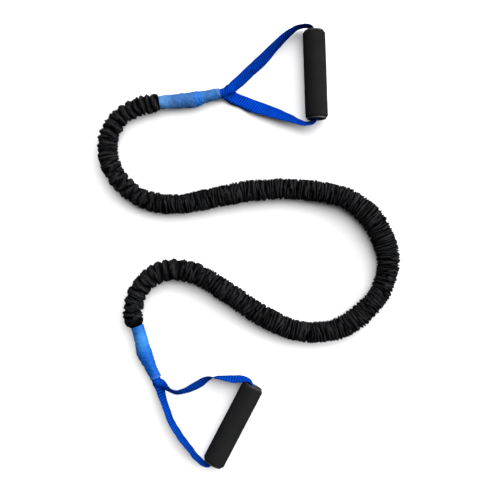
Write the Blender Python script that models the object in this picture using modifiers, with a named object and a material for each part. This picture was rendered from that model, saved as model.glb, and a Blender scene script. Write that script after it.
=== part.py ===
"""Elastic exercise tube in a gathered sleeve, with a webbing handle at each end.

The tube lies on the floor in an S. z = 0 is the floor, +Z is up, and the origin is the
middle of the box round the cuffs and handles. Sizes are in metres, angles in degrees.
"""
import math

import bmesh
import bpy
import numpy as np
from mathutils import Matrix, Vector

COLLECTION = "resistance_tube"
GAP = 0.0003                    # between pieces that touch
UP = Vector((0.0, 0.0, 1.0))
UPWARD = Vector((0.0, 1.0, 0.0))    # which way is up in a seat's own axes

# Elastic tube and the ball plug that swells each of its ends
TUBE_DIAMETER = 0.011
TUBE_BORE = 0.005
TUBE_STEP = 0.018               # spacing of the tube's rings along its route
TUBE_SIDES = 8
BALL_DIAMETER = 0.0100
STEM_DIAMETER = 0.0034
STEM_REACH = 0.009              # from the ball's middle towards the tube's cut end
SWELL_WALL = 0.0019             # tube wall where it is stretched over the ball
SWELL_REACH = 0.011             # length of the swelling, each way from the ball's middle
SWELL_SHARES = (-1, -2 / 3, -1 / 3, 0, 1 / 3, 2 / 3, 1)   # its rings, in parts of that length

# Gathered sleeve
SLEEVE_SLACK = 0.0007           # between tube and sleeve, all round
SLEEVE_CLOTH = 0.0006
SLEEVE_SIDES = 8
HEM_LENGTH = 0.014              # plain hem, tucked into each cuff
PLEAT_DEPTH = 0.25              # ridge to valley, in parts of the pitch
PLEAT_PITCH_FINE = 0.0062
PLEAT_PITCH_LOOSE = 0.0090
LOOSE_FROM_UPPER = 0.235        # length of big pleats at the upper end
LOOSE_FROM_LOWER = 0.090
PITCH_CHANGE = 0.060            # length over which the big pleats turn into fine ones

# Thickness of the gathers over the sleeve's bore: distance from its upper end, thickness
GATHERS = [
    (0.000, 0.0057), (0.050, 0.0060), (0.080, 0.0065), (0.105, 0.0075), (0.135, 0.0070),
    (0.165, 0.0065), (0.200, 0.0066), (0.230, 0.0071), (0.285, 0.0076), (0.315, 0.0085),
    (0.345, 0.0085), (0.375, 0.0075), (0.465, 0.0078), (0.495, 0.0092), (0.525, 0.0101),
    (0.580, 0.0094), (0.615, 0.0078), (0.645, 0.0081), (0.675, 0.0092), (0.710, 0.0080),
    (0.765, 0.0077), (0.795, 0.0083), (0.885, 0.0080), (0.925, 0.0085), (0.975, 0.0078),
    (1.005, 0.0067), (1.060, 0.0066),
]
EASE = 0.030                    # length over which heights and gathers are smoothed

# Cuffs, the shrunk-on covers of both joints
CUFF_WALL = 0.0010
CUFF_SIDES = 20
CUFF_MOUTH_HEIGHT = 0.0096      # axis above the floor at the mouth
UPPER_CUFF_LENGTH = 0.084
LOWER_CUFF_LENGTH = 0.076
UPPER_PLAIN_TUBE = 0.0107       # bare tube between the webbing's tails and the sleeve's hem
LOWER_PLAIN_TUBE = 0.0027

# Thread bindings inside the cuffs
BINDING_THICKNESS = 0.0006
TAIL_BINDING_LENGTH = 0.007
SLEEVE_BINDING_LENGTH = 0.006
SLEEVE_BINDING_INSET = 0.006    # from the cuff's sleeve end
BINDING_SIDES = 16

# Webbing: its two tails lie on both sides of the tube, and its loop carries the grip
WEBBING_WIDTH = 0.019
WEBBING_THICKNESS = 0.0012
NECK_WIDTH = 0.0165             # drawn in where the cuff's mouth grips it
NECK_CURL = 164.0               # how far round each half wraps there
NECK_REACH = 0.0055             # the loop leaves the mouth straight for this far
TAIL_WIDTH = 0.0175             # along the tube
TAIL_OUT = 0.0015               # tails stand this far out of the mouth
TAIL_PAST_BINDING = 0.002
LOOP_SPANS = 4                  # facets across the width
TAIL_SPANS = 8
LOOP_STEP = 0.011               # greatest distance between the loop's sections
LOOP_TURN = 16.0                # and greatest turn

# Grips: foam on a core whose collars hold it between them
GRIP_LENGTH = 0.121
GRIP_DIAMETER = 0.031
FOAM_END_ROUND = 0.002
GRIP_SIDES = 32
CORE_BORE = 0.0202
CORE_WALL = 0.0015
COLLAR_HEIGHT = 0.002           # stands this much out of the core
COLLAR_LENGTH = 0.002
MOUTH_FLARE = 0.0009            # bore widens this much through a collar, off the webbing

UPPER_GRIP = {"middle": (0.1183, 0.2356), "heading": 91.9}
LOWER_GRIP = {"middle": (0.0058, -0.2428), "heading": 62.45}

# Route of the tube's centreline seen from above, from the upper cuff's mouth to the
# lower cuff's mouth
ROUTE = [
    (-0.0123, 0.2115), (-0.0310, 0.2072), (-0.0500, 0.2032), (-0.0730, 0.2002),
    (-0.0960, 0.1983), (-0.1270, 0.1915), (-0.1500, 0.1772), (-0.1636, 0.1550),
    (-0.1658, 0.1290), (-0.1580, 0.1040), (-0.1418, 0.0832), (-0.1203, 0.0680),
    (-0.0955, 0.0600), (-0.0695, 0.0592), (-0.0440, 0.0630), (-0.0180, 0.0683),
    (0.0070, 0.0735), (0.0330, 0.0772), (0.0590, 0.0795), (0.0850, 0.0797),
    (0.1110, 0.0776), (0.1370, 0.0737), (0.1620, 0.0660), (0.1837, 0.0514),
    (0.2005, 0.0315), (0.2122, 0.0082), (0.2178, -0.0172), (0.2150, -0.0430),
    (0.2044, -0.0668), (0.1868, -0.0865), (0.1667, -0.1030), (0.1427, -0.1137),
    (0.1169, -0.1172), (0.0911, -0.1140), (0.0666, -0.1048), (0.0435, -0.0927),
    (0.0217, -0.0784), (0.0002, -0.0635), (-0.0216, -0.0492), (-0.0445, -0.0366),
    (-0.0700, -0.0308), (-0.0955, -0.0350), (-0.1168, -0.0500), (-0.1290, -0.0735),
    (-0.1305, -0.0980), (-0.1258, -0.1090), (-0.1222, -0.1200), (-0.1190, -0.1320),
    (-0.1163, -0.1420), (-0.1125, -0.1530), (-0.1080, -0.1640), (-0.1035, -0.1735),
    (-0.1005, -0.1808),
]

# Stations along each webbing loop, from the top of the cuff's mouth, through the grip
# and back to the bottom of the mouth: x, y, height of the webbing's middle, roll of its
# width (left edge up), curl across its width (edges up)
UPPER_LOOP = [
    (-0.0024, 0.2131, 0.0150, 32, -125), (0.0030, 0.2154, 0.0138, 50, -75),
    (0.0085, 0.2222, 0.0112, 57, -20), (0.0175, 0.2311, 0.0088, 56, 0),
    (0.0290, 0.2420, 0.0085, 56, 0), (0.0388, 0.2512, 0.0083, 54, 0),
    (0.0505, 0.2627, 0.0086, 58, 0), (0.0617, 0.2746, 0.0092, 65, 0),
    (0.0704, 0.2834, 0.0096, 69, 0), (0.0794, 0.2916, 0.0101, 74, 0),
    (0.0858, 0.2965, 0.0107, 80, 0), (0.0921, 0.3005, 0.0117, 86, 0),
    (0.0996, 0.3029, 0.0131, 90, 0), (0.1080, 0.3025, 0.0147, 90, 0),
    (0.1136, 0.3000, 0.0153, 90, 0), (0.1164, 0.2950, 0.0154, 90, 0),
    (0.1166, 0.2850, 0.0154, 90, 0), (0.1183, 0.2356, 0.0154, 90, 0),
    (0.1198, 0.1880, 0.0154, 90, 0), (0.1200, 0.1790, 0.0154, 88, 0),
    (0.1188, 0.1735, 0.0150, 80, 0), (0.1147, 0.1706, 0.0142, 68, 0),
    (0.1066, 0.1695, 0.0126, 64, 0), (0.0987, 0.1714, 0.0110, 64, 0),
    (0.0910, 0.1745, 0.0098, 61, 0), (0.0834, 0.1778, 0.0087, 54, 0),
    (0.0756, 0.1808, 0.0079, 48, 0), (0.0680, 0.1837, 0.0072, 43, 0),
    (0.0522, 0.1891, 0.0063, 35, 0), (0.0363, 0.1943, 0.0048, 25, 0),
    (0.0250, 0.1983, 0.0041, 20, 0), (0.0129, 0.2030, 0.0038, 18, 10),
    (0.0054, 0.2064, 0.0034, 14, 50), (-0.0012, 0.2104, 0.0031, 5, 100),
]
LOWER_LOOP = [
    (-0.0925, -0.1897, 0.0138, 34, -85), (-0.0862, -0.1943, 0.0122, 58, -30),
    (-0.0792, -0.1981, 0.0105, 67, 0), (-0.0712, -0.2001, 0.0096, 67, 0),
    (-0.0629, -0.1986, 0.0092, 65, 0), (-0.0552, -0.1957, 0.0089, 61, 0),
    (-0.0476, -0.1921, 0.0087, 57, 0), (-0.0407, -0.1879, 0.0086, 56, 0),
    (-0.0339, -0.1831, 0.0089, 61, 0), (-0.0262, -0.1800, 0.0095, 72, 0),
    (-0.0180, -0.1791, 0.0101, 88, 0), (-0.0097, -0.1795, 0.0104, 96, 0),
    (-0.0015, -0.1803, 0.0108, 100, 0), (0.0067, -0.1811, 0.0114, 101, 0),
    (0.0150, -0.1809, 0.0126, 97, 0), (0.0234, -0.1813, 0.0140, 93, 0),
    (0.0302, -0.1848, 0.0151, 91, 0), (0.0325, -0.1915, 0.0154, 90, 0),
    (0.0285, -0.2000, 0.0154, 90, 0), (0.0058, -0.2428, 0.0154, 90, 0),
    (-0.0165, -0.2855, 0.0154, 90, 0), (-0.0205, -0.2925, 0.0154, 90, 0),
    (-0.0233, -0.2962, 0.0154, 90, 0), (-0.0278, -0.2982, 0.0152, 89, 0),
    (-0.0348, -0.2966, 0.0135, 85, 0), (-0.0414, -0.2914, 0.0118, 84, 0),
    (-0.0473, -0.2856, 0.0109, 86, 0), (-0.0525, -0.2795, 0.0104, 85, 0),
    (-0.0626, -0.2667, 0.0099, 82, 0), (-0.0720, -0.2530, 0.0098, 80, 0),
    (-0.0797, -0.2388, 0.0098, 79, 0), (-0.0854, -0.2240, 0.0097, 78, 0),
    (-0.0898, -0.2113, 0.0097, 76, 0), (-0.0924, -0.2040, 0.0094, 70, 5),
    (-0.0945, -0.1980, 0.0085, 60, 25), (-0.0962, -0.1930, 0.0068, 42, 55),
    (-0.0980, -0.1878, 0.0048, 18, 105),
]

# Places and radii worked out from what goes through and over what
TUBE_RADIUS = TUBE_DIAMETER / 2
BALL_RADIUS = BALL_DIAMETER / 2
TUBE_FLATS = math.cos(math.pi / TUBE_SIDES)    # a facet's middle lies this much nearer
CAVITY_RADIUS = (BALL_RADIUS + GAP) / TUBE_FLATS
SWELL_RADIUS = CAVITY_RADIUS + SWELL_WALL
SLEEVE_BORE_RADIUS = TUBE_RADIUS + SLEEVE_SLACK
HEM_RADIUS = SLEEVE_BORE_RADIUS + SLEEVE_CLOTH
SLEEVE_BINDING_RADIUS = HEM_RADIUS + GAP + BINDING_THICKNESS
TAIL_RADIUS = TUBE_RADIUS + GAP + WEBBING_THICKNESS
TAIL_BINDING_RADIUS = TAIL_RADIUS + GAP + BINDING_THICKNESS
NECK_MIDDLE_RADIUS = NECK_WIDTH / math.radians(NECK_CURL)
NECK_RADIUS = NECK_MIDDLE_RADIUS + WEBBING_THICKNESS / 2
BULGE_RADIUS = SWELL_RADIUS + GAP + WEBBING_THICKNESS + GAP + CUFF_WALL
HINGE_OUT = TAIL_OUT + GAP / 2                 # handle's hinge, out from the mouth
HINGE_OVER = NECK_RADIUS + CUFF_WALL / 2       # and over its axis
CORE_RADIUS = CORE_BORE / 2 + CORE_WALL
FOAM_BORE_RADIUS = CORE_RADIUS + GAP
COLLAR_RADIUS = CORE_RADIUS + COLLAR_HEIGHT
FLAT_RADIUS = GRIP_DIAMETER / 2 * math.cos(math.pi / GRIP_SIDES)


def smooth_curve(points, steps=24):
    """Close points on the smooth curve through rows that start with a place."""
    rows = np.array(points, float)
    spacing = np.linalg.norm(np.diff(rows[:, :3], axis=0), axis=1)[:, None]
    slope = np.diff(rows, axis=0) / spacing
    before, after = spacing[:-1], spacing[1:]
    inner = (slope[:-1] * after + slope[1:] * before) / (before + after)
    slope = np.vstack([slope[:1], inner, slope[-1:]])
    t = np.linspace(0.0, 1.0, steps, endpoint=False)[:, None]
    rise = t * t * (3.0 - 2.0 * t)
    spans = []
    for i, length in enumerate(spacing):
        leave = slope[i] * length * t * (1.0 - t) ** 2
        arrive = slope[i + 1] * length * t * t * (t - 1.0)
        spans.append(rows[i] * (1.0 - rise) + rows[i + 1] * rise + leave + arrive)
    return np.vstack([*spans, rows[-1]])


def travelled(points):
    """Distance from the first point to each point along them."""
    steps = np.linalg.norm(np.diff(points, axis=0), axis=1)
    return np.concatenate([[0.0], np.cumsum(steps)])


def eased(distance, values, reach):
    """Values along a line, averaged over a bell-shaped window of the given length."""
    count = max(3, int(round(reach / (distance[1] - distance[0]))) | 1)
    window = np.hanning(count + 2)[1:-1]
    padded = np.pad(values, count // 2, mode="edge")
    return np.convolve(padded, window / window.sum(), mode="valid")


def ball_place(cuff_length, plain_tube):
    """Distance of a ball plug's middle from the cuff's mouth, counted from the sleeve."""
    tails_end = cuff_length - HEM_LENGTH - plain_tube
    return tails_end - TAIL_PAST_BINDING - TAIL_BINDING_LENGTH - GAP - SWELL_REACH


class Route:
    """The tube's centreline with its heights, measured from the upper cuff's mouth."""

    def __init__(self):
        plan = smooth_curve(ROUTE)
        along = travelled(plan)
        self.length = along[-1]
        self.sleeve_start = UPPER_CUFF_LENGTH
        self.sleeve_end = self.length - LOWER_CUFF_LENGTH
        self.distance = np.arange(0.0, self.length, 0.001)
        rest = BULGE_RADIUS + GAP
        upper_ball = ball_place(UPPER_CUFF_LENGTH, UPPER_PLAIN_TUBE)
        lower_ball = ball_place(LOWER_CUFF_LENGTH, LOWER_PLAIN_TUBE)
        knots = [(0.0, CUFF_MOUTH_HEIGHT), (upper_ball, rest)]
        for place, thickness in GATHERS:
            share = place / GATHERS[-1][0]
            at = self.sleeve_start + share * (self.sleeve_end - self.sleeve_start)
            knots.append((at, SLEEVE_BORE_RADIUS + thickness))
        knots.append((self.length - lower_ball, rest))
        knots.append((self.length, CUFF_MOUTH_HEIGHT))
        heights = np.interp(self.distance, *np.transpose(knots))
        self.height = eased(self.distance, heights, EASE)
        self.plan = [np.interp(self.distance, along, plan[:, axis]) for axis in (0, 1)]

    def height_at(self, distance):
        """Height of the centreline over the floor, which the pleats' ridges touch."""
        return float(np.interp(distance, self.distance, self.height))

    def point(self, distance):
        """Place on the centreline; past an end the line runs on straight."""
        inside = min(max(distance, self.distance[0]), self.distance[-1])
        plan = [float(np.interp(inside, self.distance, values)) for values in self.plan]
        here = Vector((*plan, self.height_at(inside)))
        if inside != distance:
            here += self.direction(inside) * (distance - inside)
        return here

    def direction(self, distance, reach=0.002):
        """Unit direction of travel."""
        first = min(max(distance - reach, self.distance[0]), self.distance[-1] - reach)
        plan = [np.interp([first, first + reach], self.distance, v) for v in self.plan]
        rise = self.height_at(first + reach) - self.height_at(first)
        step = Vector((plan[0][1] - plan[0][0], plan[1][1] - plan[1][0], rise))
        return step.normalized()


class End:
    """One end of the tube: distances are measured back from the cuff's mouth."""

    def __init__(self, name, route, cuff_length, plain_tube, grip, loop, reverse):
        self.name = name
        self.route = route
        self.cuff_length = cuff_length
        self.hem_start = cuff_length - HEM_LENGTH
        self.ball = ball_place(cuff_length, plain_tube)
        self.tube_end = self.ball - SWELL_REACH
        self.tail_binding = self.ball + SWELL_REACH + GAP
        self.tail_end = self.hem_start - plain_tube
        self.grip = grip
        self.loop = loop
        self.reverse = reverse

    def along(self, back):
        """Distance along the route of a place that far back from the mouth."""
        return self.route.length - back if self.reverse else back

    def point(self, back):
        """Place on the cuff's axis."""
        return self.route.point(self.along(back))

    def outward(self, back):
        """Direction along the cuff's axis towards its mouth."""
        direction = self.route.direction(self.along(back))
        return direction if self.reverse else -direction

    def hinge(self):
        """Place of the handle's hinge, over the cuff's mouth."""
        return self.seat(0.0) @ Vector((0.0, HINGE_OVER, HINGE_OUT))

    def seat(self, back):
        """Matrix whose Z runs out of the mouth and whose X lies across, level."""
        z_axis = self.outward(back)
        x_axis = UP.cross(z_axis).normalized()
        y_axis = z_axis.cross(x_axis)
        turn = Matrix((x_axis, y_axis, z_axis)).transposed().to_4x4()
        return Matrix.Translation(self.point(back)) @ turn


def material(name, colour, roughness, metallic=0.0):
    """Plain shader with the piece's colour."""
    made = bpy.data.materials.new(name)
    made.use_nodes = True
    shader = made.node_tree.nodes["Principled BSDF"]
    shader.inputs["Base Color"].default_value = (*colour, 1.0)
    shader.inputs["Roughness"].default_value = roughness
    shader.inputs["Metallic"].default_value = metallic
    return made


def collection(name):
    """Collection linked into the scene."""
    made = bpy.data.collections.new(name)
    bpy.context.scene.collection.children.link(made)
    return made


def add_object(name, data, group, finish=None):
    """Object in its collection, with its material."""
    made = bpy.data.objects.new(name, data)
    group.objects.link(made)
    if finish is not None:
        data.materials.append(finish)
    return made


def shade(mesh, angle=40.0):
    """Smooth shading that keeps edges sharper than the angle."""
    mesh.shade_smooth()
    mesh.set_sharp_from_angle(angle=math.radians(angle))


def tube_object(name, rings, sides, group, finish=None):
    """Mesh of a round tube through rings of (place, radius), with flat ends."""
    curve = bpy.data.curves.new(name + "_line", "CURVE")
    curve.dimensions = "3D"
    curve.twist_mode = "Z_UP"
    curve.bevel_depth = 1.0
    curve.bevel_resolution = (sides - 4) // 2
    curve.use_fill_caps = True
    line = curve.splines.new("POLY")
    line.points.add(len(rings) - 1)
    for point, (place, radius) in zip(line.points, rings):
        point.co = (*place, 1.0)
        point.radius = radius
    guide = add_object(name + "_line", curve, group)
    bpy.context.view_layer.update()
    evaluated = guide.evaluated_get(bpy.context.evaluated_depsgraph_get())
    mesh = bpy.data.meshes.new_from_object(evaluated)
    welded = bmesh.new()
    welded.from_mesh(mesh)
    bmesh.ops.remove_doubles(welded, verts=welded.verts, dist=1e-6)
    welded.to_mesh(mesh)
    welded.free()
    made = add_object(name, mesh, group, finish)
    made.matrix_world = guide.matrix_world
    bpy.data.objects.remove(guide)
    shade(mesh)
    return made


def cut(target, name, rings, sides, cutters):
    """Take a tube-shaped cutter out of the target."""
    cutter = tube_object(name, rings, sides, cutters)
    cutter.hide_render = True
    cutter.display_type = "WIRE"
    modifier = target.modifiers.new("bore", "BOOLEAN")
    modifier.operation = "DIFFERENCE"
    modifier.object = cutter


def turned(name, profile, sides, place, group, finish, closed=False):
    """Turned piece: a profile of (radius, height), outer side from top to bottom."""
    mesh = bpy.data.meshes.new(name)
    points = [(radius, 0.0, height) for radius, height in profile]
    edges = [(i, i + 1) for i in range(len(points) - 1)]
    if closed:
        edges.append((len(points) - 1, 0))
    mesh.from_pydata(points, edges, [])
    made = add_object(name, mesh, group, finish)
    screw = made.modifiers.new("turn", "SCREW")
    screw.steps = sides
    screw.render_steps = sides
    screw.use_merge_vertices = True
    screw.merge_threshold = 0.00001
    screw.use_smooth_shade = True
    made.matrix_world = place
    return made


def ribbon_sections(stations, travel, widths, spans):
    """Corner points of a webbing strip at each station, as an array (station, corner, 3).

    A section is an arc of the webbing's width, bent by its curl and turned by its roll
    about the direction of travel; the strip's two faces lie half its thickness each way.
    """
    middle = stations[:, :3]
    travel = travel / np.linalg.norm(travel, axis=1)[:, None]
    side = np.cross((0.0, 0.0, 1.0), travel)
    side /= np.linalg.norm(side, axis=1)[:, None]
    over = np.cross(travel, side)
    roll = np.radians(stations[:, 3])[:, None]
    across = np.cos(roll) * side + np.sin(roll) * over
    normal = np.cos(roll) * over - np.sin(roll) * side
    curl = np.radians(stations[:, 4])
    curl = np.where(np.abs(curl) < 1e-4, 1e-4, curl)[:, None]
    share = np.linspace(-0.5, 0.5, spans + 1)[None]
    radius = widths[:, None] / curl
    angle = share * curl
    faces = []
    for offset, order in ((0.5, 1), (-0.5, -1)):
        reach = radius - offset * WEBBING_THICKNESS
        x = reach * np.sin(angle)
        y = radius - reach * np.cos(angle)
        face = middle[:, None] + across[:, None] * x[..., None] + normal[:, None] * y[..., None]
        faces.append(face[:, ::order])
    return np.concatenate(faces, axis=1)


def ribbon_mesh(name, sections):
    """Mesh of a closed webbing strip, given as its sections."""
    body = bmesh.new()
    rows = [[body.verts.new(corner) for corner in section] for section in sections]
    count = len(rows[0])
    for row, following in zip(rows, rows[1:]):
        for i in range(count):
            j = (i + 1) % count
            body.faces.new((row[i], row[j], following[j], following[i]))
    for row in (rows[0], rows[-1]):
        for i in range(count // 2 - 1):
            body.faces.new((row[i], row[i + 1], row[count - 2 - i], row[count - 1 - i]))
    bmesh.ops.recalc_face_normals(body, faces=body.faces)
    mesh = bpy.data.meshes.new(name)
    body.to_mesh(mesh)
    body.free()
    shade(mesh)
    return mesh


def swelling(offset):
    """Share of the tube's swelling at a distance from the ball's middle, 1 down to 0."""
    reach = min(abs(offset) / SWELL_REACH, 1.0)
    return math.cos(reach * math.pi / 2) ** 2


def tube_outside(end, back):
    """Outer radius of the elastic tube, that far back from the mouth."""
    return TUBE_RADIUS + (SWELL_RADIUS - TUBE_RADIUS) * swelling(back - end.ball)


def even_steps(first, last, step):
    """Distances from first to last in equal steps of about the given length."""
    count = max(2, round(abs(last - first) / step))
    return np.linspace(first, last, count + 1)


def tube_run(ends):
    """Distances of the tube's rings, from one swelling to the other."""
    first, last = (end.along(end.ball + SWELL_REACH) for end in ends)
    return even_steps(first, last, TUBE_STEP)


def swollen_rings(end):
    """Rings of the tube's outside over the ball plug, from its cut end inwards."""
    backs = [end.ball + share * SWELL_REACH for share in SWELL_SHARES]
    return [(end.point(back), tube_outside(end, back)) for back in backs]


def cavity_rings(end, bore):
    """Rings of the hollow round the ball plug, from outside the tube's cut end inwards."""
    hollow = [(end.tube_end - SWELL_WALL, bore)]
    for angle in np.linspace(math.asin(bore / CAVITY_RADIUS), math.pi / 2, 5):
        hollow.append((end.ball - CAVITY_RADIUS * math.cos(angle),
                       CAVITY_RADIUS * math.sin(angle)))
    hollow += [(2 * end.ball - back, radius) for back, radius in hollow[-2:0:-1]]
    return [(end.point(back), radius) for back, radius in hollow]


def build_tube(ends, route, group, cutters, finish):
    """Elastic tube: swollen over the ball plugs, with a bore and a cavity for each ball."""
    upper, lower = (swollen_rings(end) for end in ends)
    run = tube_run(ends)[1:-1]
    rings = upper + [(route.point(distance), TUBE_RADIUS) for distance in run] + lower[::-1]
    tube = tube_object("latex_tube", rings, TUBE_SIDES, group, finish)
    bore = TUBE_BORE / 2
    upper, lower = (cavity_rings(end, bore) for end in ends)
    rings = upper + [(route.point(distance), bore) for distance in run] + lower[::-1]
    cut(tube, "tube_bore", rings, TUBE_SIDES, cutters)
    return tube


def pleat_places(start, end):
    """Distances of the pleats' valleys, closer together away from the sleeve's ends."""
    distance = np.linspace(start, end, 2000)

    def looseness(from_end, length):
        share = np.clip((length + PITCH_CHANGE / 2 - from_end) / PITCH_CHANGE, 0.0, 1.0)
        return share * share * (3.0 - 2.0 * share)

    loose = looseness(distance - start, LOOSE_FROM_UPPER)
    loose = np.maximum(loose, looseness(end - distance, LOOSE_FROM_LOWER))
    pitch = PLEAT_PITCH_FINE + (PLEAT_PITCH_LOOSE - PLEAT_PITCH_FINE) * loose
    passed = np.concatenate([[0.0], np.cumsum(np.diff(distance) / pitch[1:])])
    count = round(passed[-1])
    return np.interp(np.linspace(0.0, passed[-1], count + 1), passed, distance)


def build_sleeve(ends, route, group, cutters, finish):
    """Sleeve: a ridge and a valley for each pleat, plain hems, and its bore cut out."""
    upper, lower = ends
    start = route.sleeve_start + GAP
    end = route.sleeve_end - GAP
    valleys = pleat_places(start, end)
    hem_start = upper.hem_start
    hem_end = lower.along(lower.hem_start)
    rings = [(route.point(hem_start), HEM_RADIUS), (route.point(start), HEM_RADIUS)]
    for valley, following in zip(valleys, valleys[1:]):
        ridge = (valley + following) / 2
        if valley > start:
            depth = PLEAT_DEPTH * (following - valley)
            rings.append((route.point(valley), route.height_at(valley) - depth))
        rings.append((route.point(ridge), route.height_at(ridge)))
    rings += [(route.point(end), HEM_RADIUS), (route.point(hem_end), HEM_RADIUS)]
    sleeve = tube_object("gathered_sleeve", rings, SLEEVE_SIDES, group, finish)

    run = [distance for distance in tube_run(ends) if hem_start < distance < hem_end]
    run = [hem_start - HEM_LENGTH / 2, *run, hem_end + HEM_LENGTH / 2]
    bore = [(route.point(distance), SLEEVE_BORE_RADIUS) for distance in run]
    cut(sleeve, "sleeve_bore", bore, SLEEVE_SIDES, cutters)
    return len(valleys) - 1


def tail_middle(end, back):
    """Radius of the middle of the webbing's tails, that far back from the mouth."""
    radius = tube_outside(end, back) + GAP + WEBBING_THICKNESS / 2
    neck = min(max(back / end.tube_end, 0.0), 1.0)
    return NECK_MIDDLE_RADIUS + (radius - NECK_MIDDLE_RADIUS) * neck


def cuff_insides(end):
    """Inner radius of the cuff at places back from its mouth, clear of what it holds."""
    backs = [0.0, end.tube_end / 2]
    backs += [end.ball + share * SWELL_REACH for share in SWELL_SHARES[:-1]]
    clear = WEBBING_THICKNESS / 2 + GAP
    places = [(back, tail_middle(end, back) + clear) for back in backs]
    binding = TAIL_BINDING_RADIUS + GAP
    places.append((end.tail_binding - GAP, binding))
    places.append((end.tail_end, binding))
    sleeve_side = SLEEVE_BINDING_RADIUS + GAP
    places.append((end.hem_start, sleeve_side))
    places.append((end.cuff_length, sleeve_side))
    return places


def build_cuff(end, group, cutters, finish):
    """Cuff: a soft tube shrunk over the binding, the ball and the webbing's neck."""
    insides = cuff_insides(end)
    rings = [(end.point(back), radius + CUFF_WALL) for back, radius in insides]
    name = end.name + "_cuff"
    cuff = tube_object(name, rings, CUFF_SIDES, group, finish)
    hollow = [(end.point(back), radius) for back, radius in insides]
    mouth = end.outward(0.0) * CUFF_WALL
    hollow[0] = (hollow[0][0] + mouth, hollow[0][1])
    sleeve_end = end.outward(end.cuff_length) * CUFF_WALL
    hollow[-1] = (hollow[-1][0] - sleeve_end, hollow[-1][1])
    cut(cuff, name + "_bore", hollow, CUFF_SIDES, cutters)


def build_plug(end, group, finish):
    """Ball plug with a short stem in the tube's bore."""
    stem = STEM_DIAMETER / 2
    meet = math.asin(stem / BALL_RADIUS)
    profile = [(0.0, STEM_REACH), (stem, STEM_REACH)]
    for angle in np.linspace(meet, math.pi, 8):
        profile.append((BALL_RADIUS * math.sin(angle), BALL_RADIUS * math.cos(angle)))
    profile[-1] = (0.0, -BALL_RADIUS)
    turned(end.name + "_tube_plug", profile, 12, end.seat(end.ball), group, finish)


def build_binding(name, end, back, length, inner, group, finish):
    """Ring of thread wound round what it holds, that far back from the mouth."""
    inner += GAP
    outer = inner + BINDING_THICKNESS
    half = length / 2
    round_off = BINDING_THICKNESS / 3
    profile = [(outer - round_off, half), (outer, half - round_off),
               (outer, round_off - half), (outer - round_off, -half),
               (inner, -half), (inner, half)]
    seat = end.seat(back + half)
    turned(name, profile, BINDING_SIDES, seat, group, finish, closed=True)


def build_tails(end, group, finish):
    """Webbing's tails: one over and one under the tube, meeting in the cuff's mouth."""
    backs = [-TAIL_OUT, 0.0, end.tube_end / 2]
    backs += [end.ball + share * SWELL_REACH for share in SWELL_SHARES]
    backs.append(end.tail_end)
    for label, side in (("top", 1.0), ("bottom", -1.0)):
        rows = []
        widths = []
        for back in backs:
            radius = tail_middle(end, back)
            over = end.seat(back).to_3x3() @ UPWARD
            middle = end.point(back) + over * radius * side
            width = np.interp(back, [0.0, end.tube_end], [NECK_WIDTH, TAIL_WIDTH])
            rows.append((*middle, 0.0, -side * math.degrees(width / radius)))
            widths.append(width)
        travel = np.array([end.outward(back) for back in backs])
        sections = ribbon_sections(np.array(rows), travel, np.array(widths), TAIL_SPANS)
        name = f"{end.name}_{label}_tail"
        add_object(name, ribbon_mesh(name, sections), group, finish)


def loop_stations(end):
    """Stations along the webbing loop, its direction of travel there, and its length."""
    outward = end.outward(0.0)
    over = end.seat(0.0).to_3x3() @ UPWARD
    rows = []
    for side in (1.0, -1.0):
        for reach in (TAIL_OUT + GAP, NECK_REACH):
            middle = end.point(0.0) + outward * reach + over * NECK_MIDDLE_RADIUS * side
            rows.append((*middle, 0.0, -side * NECK_CURL))
    dense = smooth_curve([*rows[:2], *end.loop, rows[3], rows[2]])
    travel = np.gradient(dense[:, :3], axis=0)
    travel /= np.linalg.norm(travel, axis=1)[:, None]
    turn = np.degrees(np.linalg.norm(np.diff(travel, axis=0), axis=1))
    turn += np.abs(np.diff(dense[:, 3:], axis=0)).max(axis=1) / 2
    along = travelled(dense[:, :3])
    pace = np.concatenate([[0.0], np.cumsum(np.diff(along) / LOOP_STEP + turn / LOOP_TURN)])
    places = np.linspace(0.0, pace[-1], round(pace[-1]))
    both = np.hstack([dense, travel])
    both = np.stack([np.interp(places, pace, column) for column in both.T], axis=1)
    return both[:, :5], both[:, 5:], along[-1]


def build_loop(end, group, finish):
    """Webbing loop that carries the grip, with its origin on its hinge; returns its length."""
    stations, travel, length = loop_stations(end)
    flat = 1.0 - np.clip(np.abs(stations[:, 4]) / NECK_CURL, 0.0, 1.0)
    widths = NECK_WIDTH + (WEBBING_WIDTH - NECK_WIDTH) * flat
    sections = ribbon_sections(stations, travel, widths, LOOP_SPANS)
    name = end.name + "_webbing_loop"
    hinge = end.hinge()
    made = add_object(name, ribbon_mesh(name, sections - np.array(hinge)), group, finish)
    made.location = hinge
    return length


def grip_seat(grip):
    """Matrix whose Z runs along the grip and whose X meets the middle of its flat."""
    heading = math.radians(grip["heading"])
    z_axis = Vector((math.cos(heading), math.sin(heading), 0.0))
    side = z_axis.cross(UP)
    half_facet = math.pi / GRIP_SIDES
    x_axis = -UP * math.cos(half_facet) + side * math.sin(half_facet)
    y_axis = z_axis.cross(x_axis)
    turn = Matrix((x_axis, y_axis, z_axis)).transposed().to_4x4()
    return Matrix.Translation((*grip["middle"], FLAT_RADIUS)) @ turn


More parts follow.
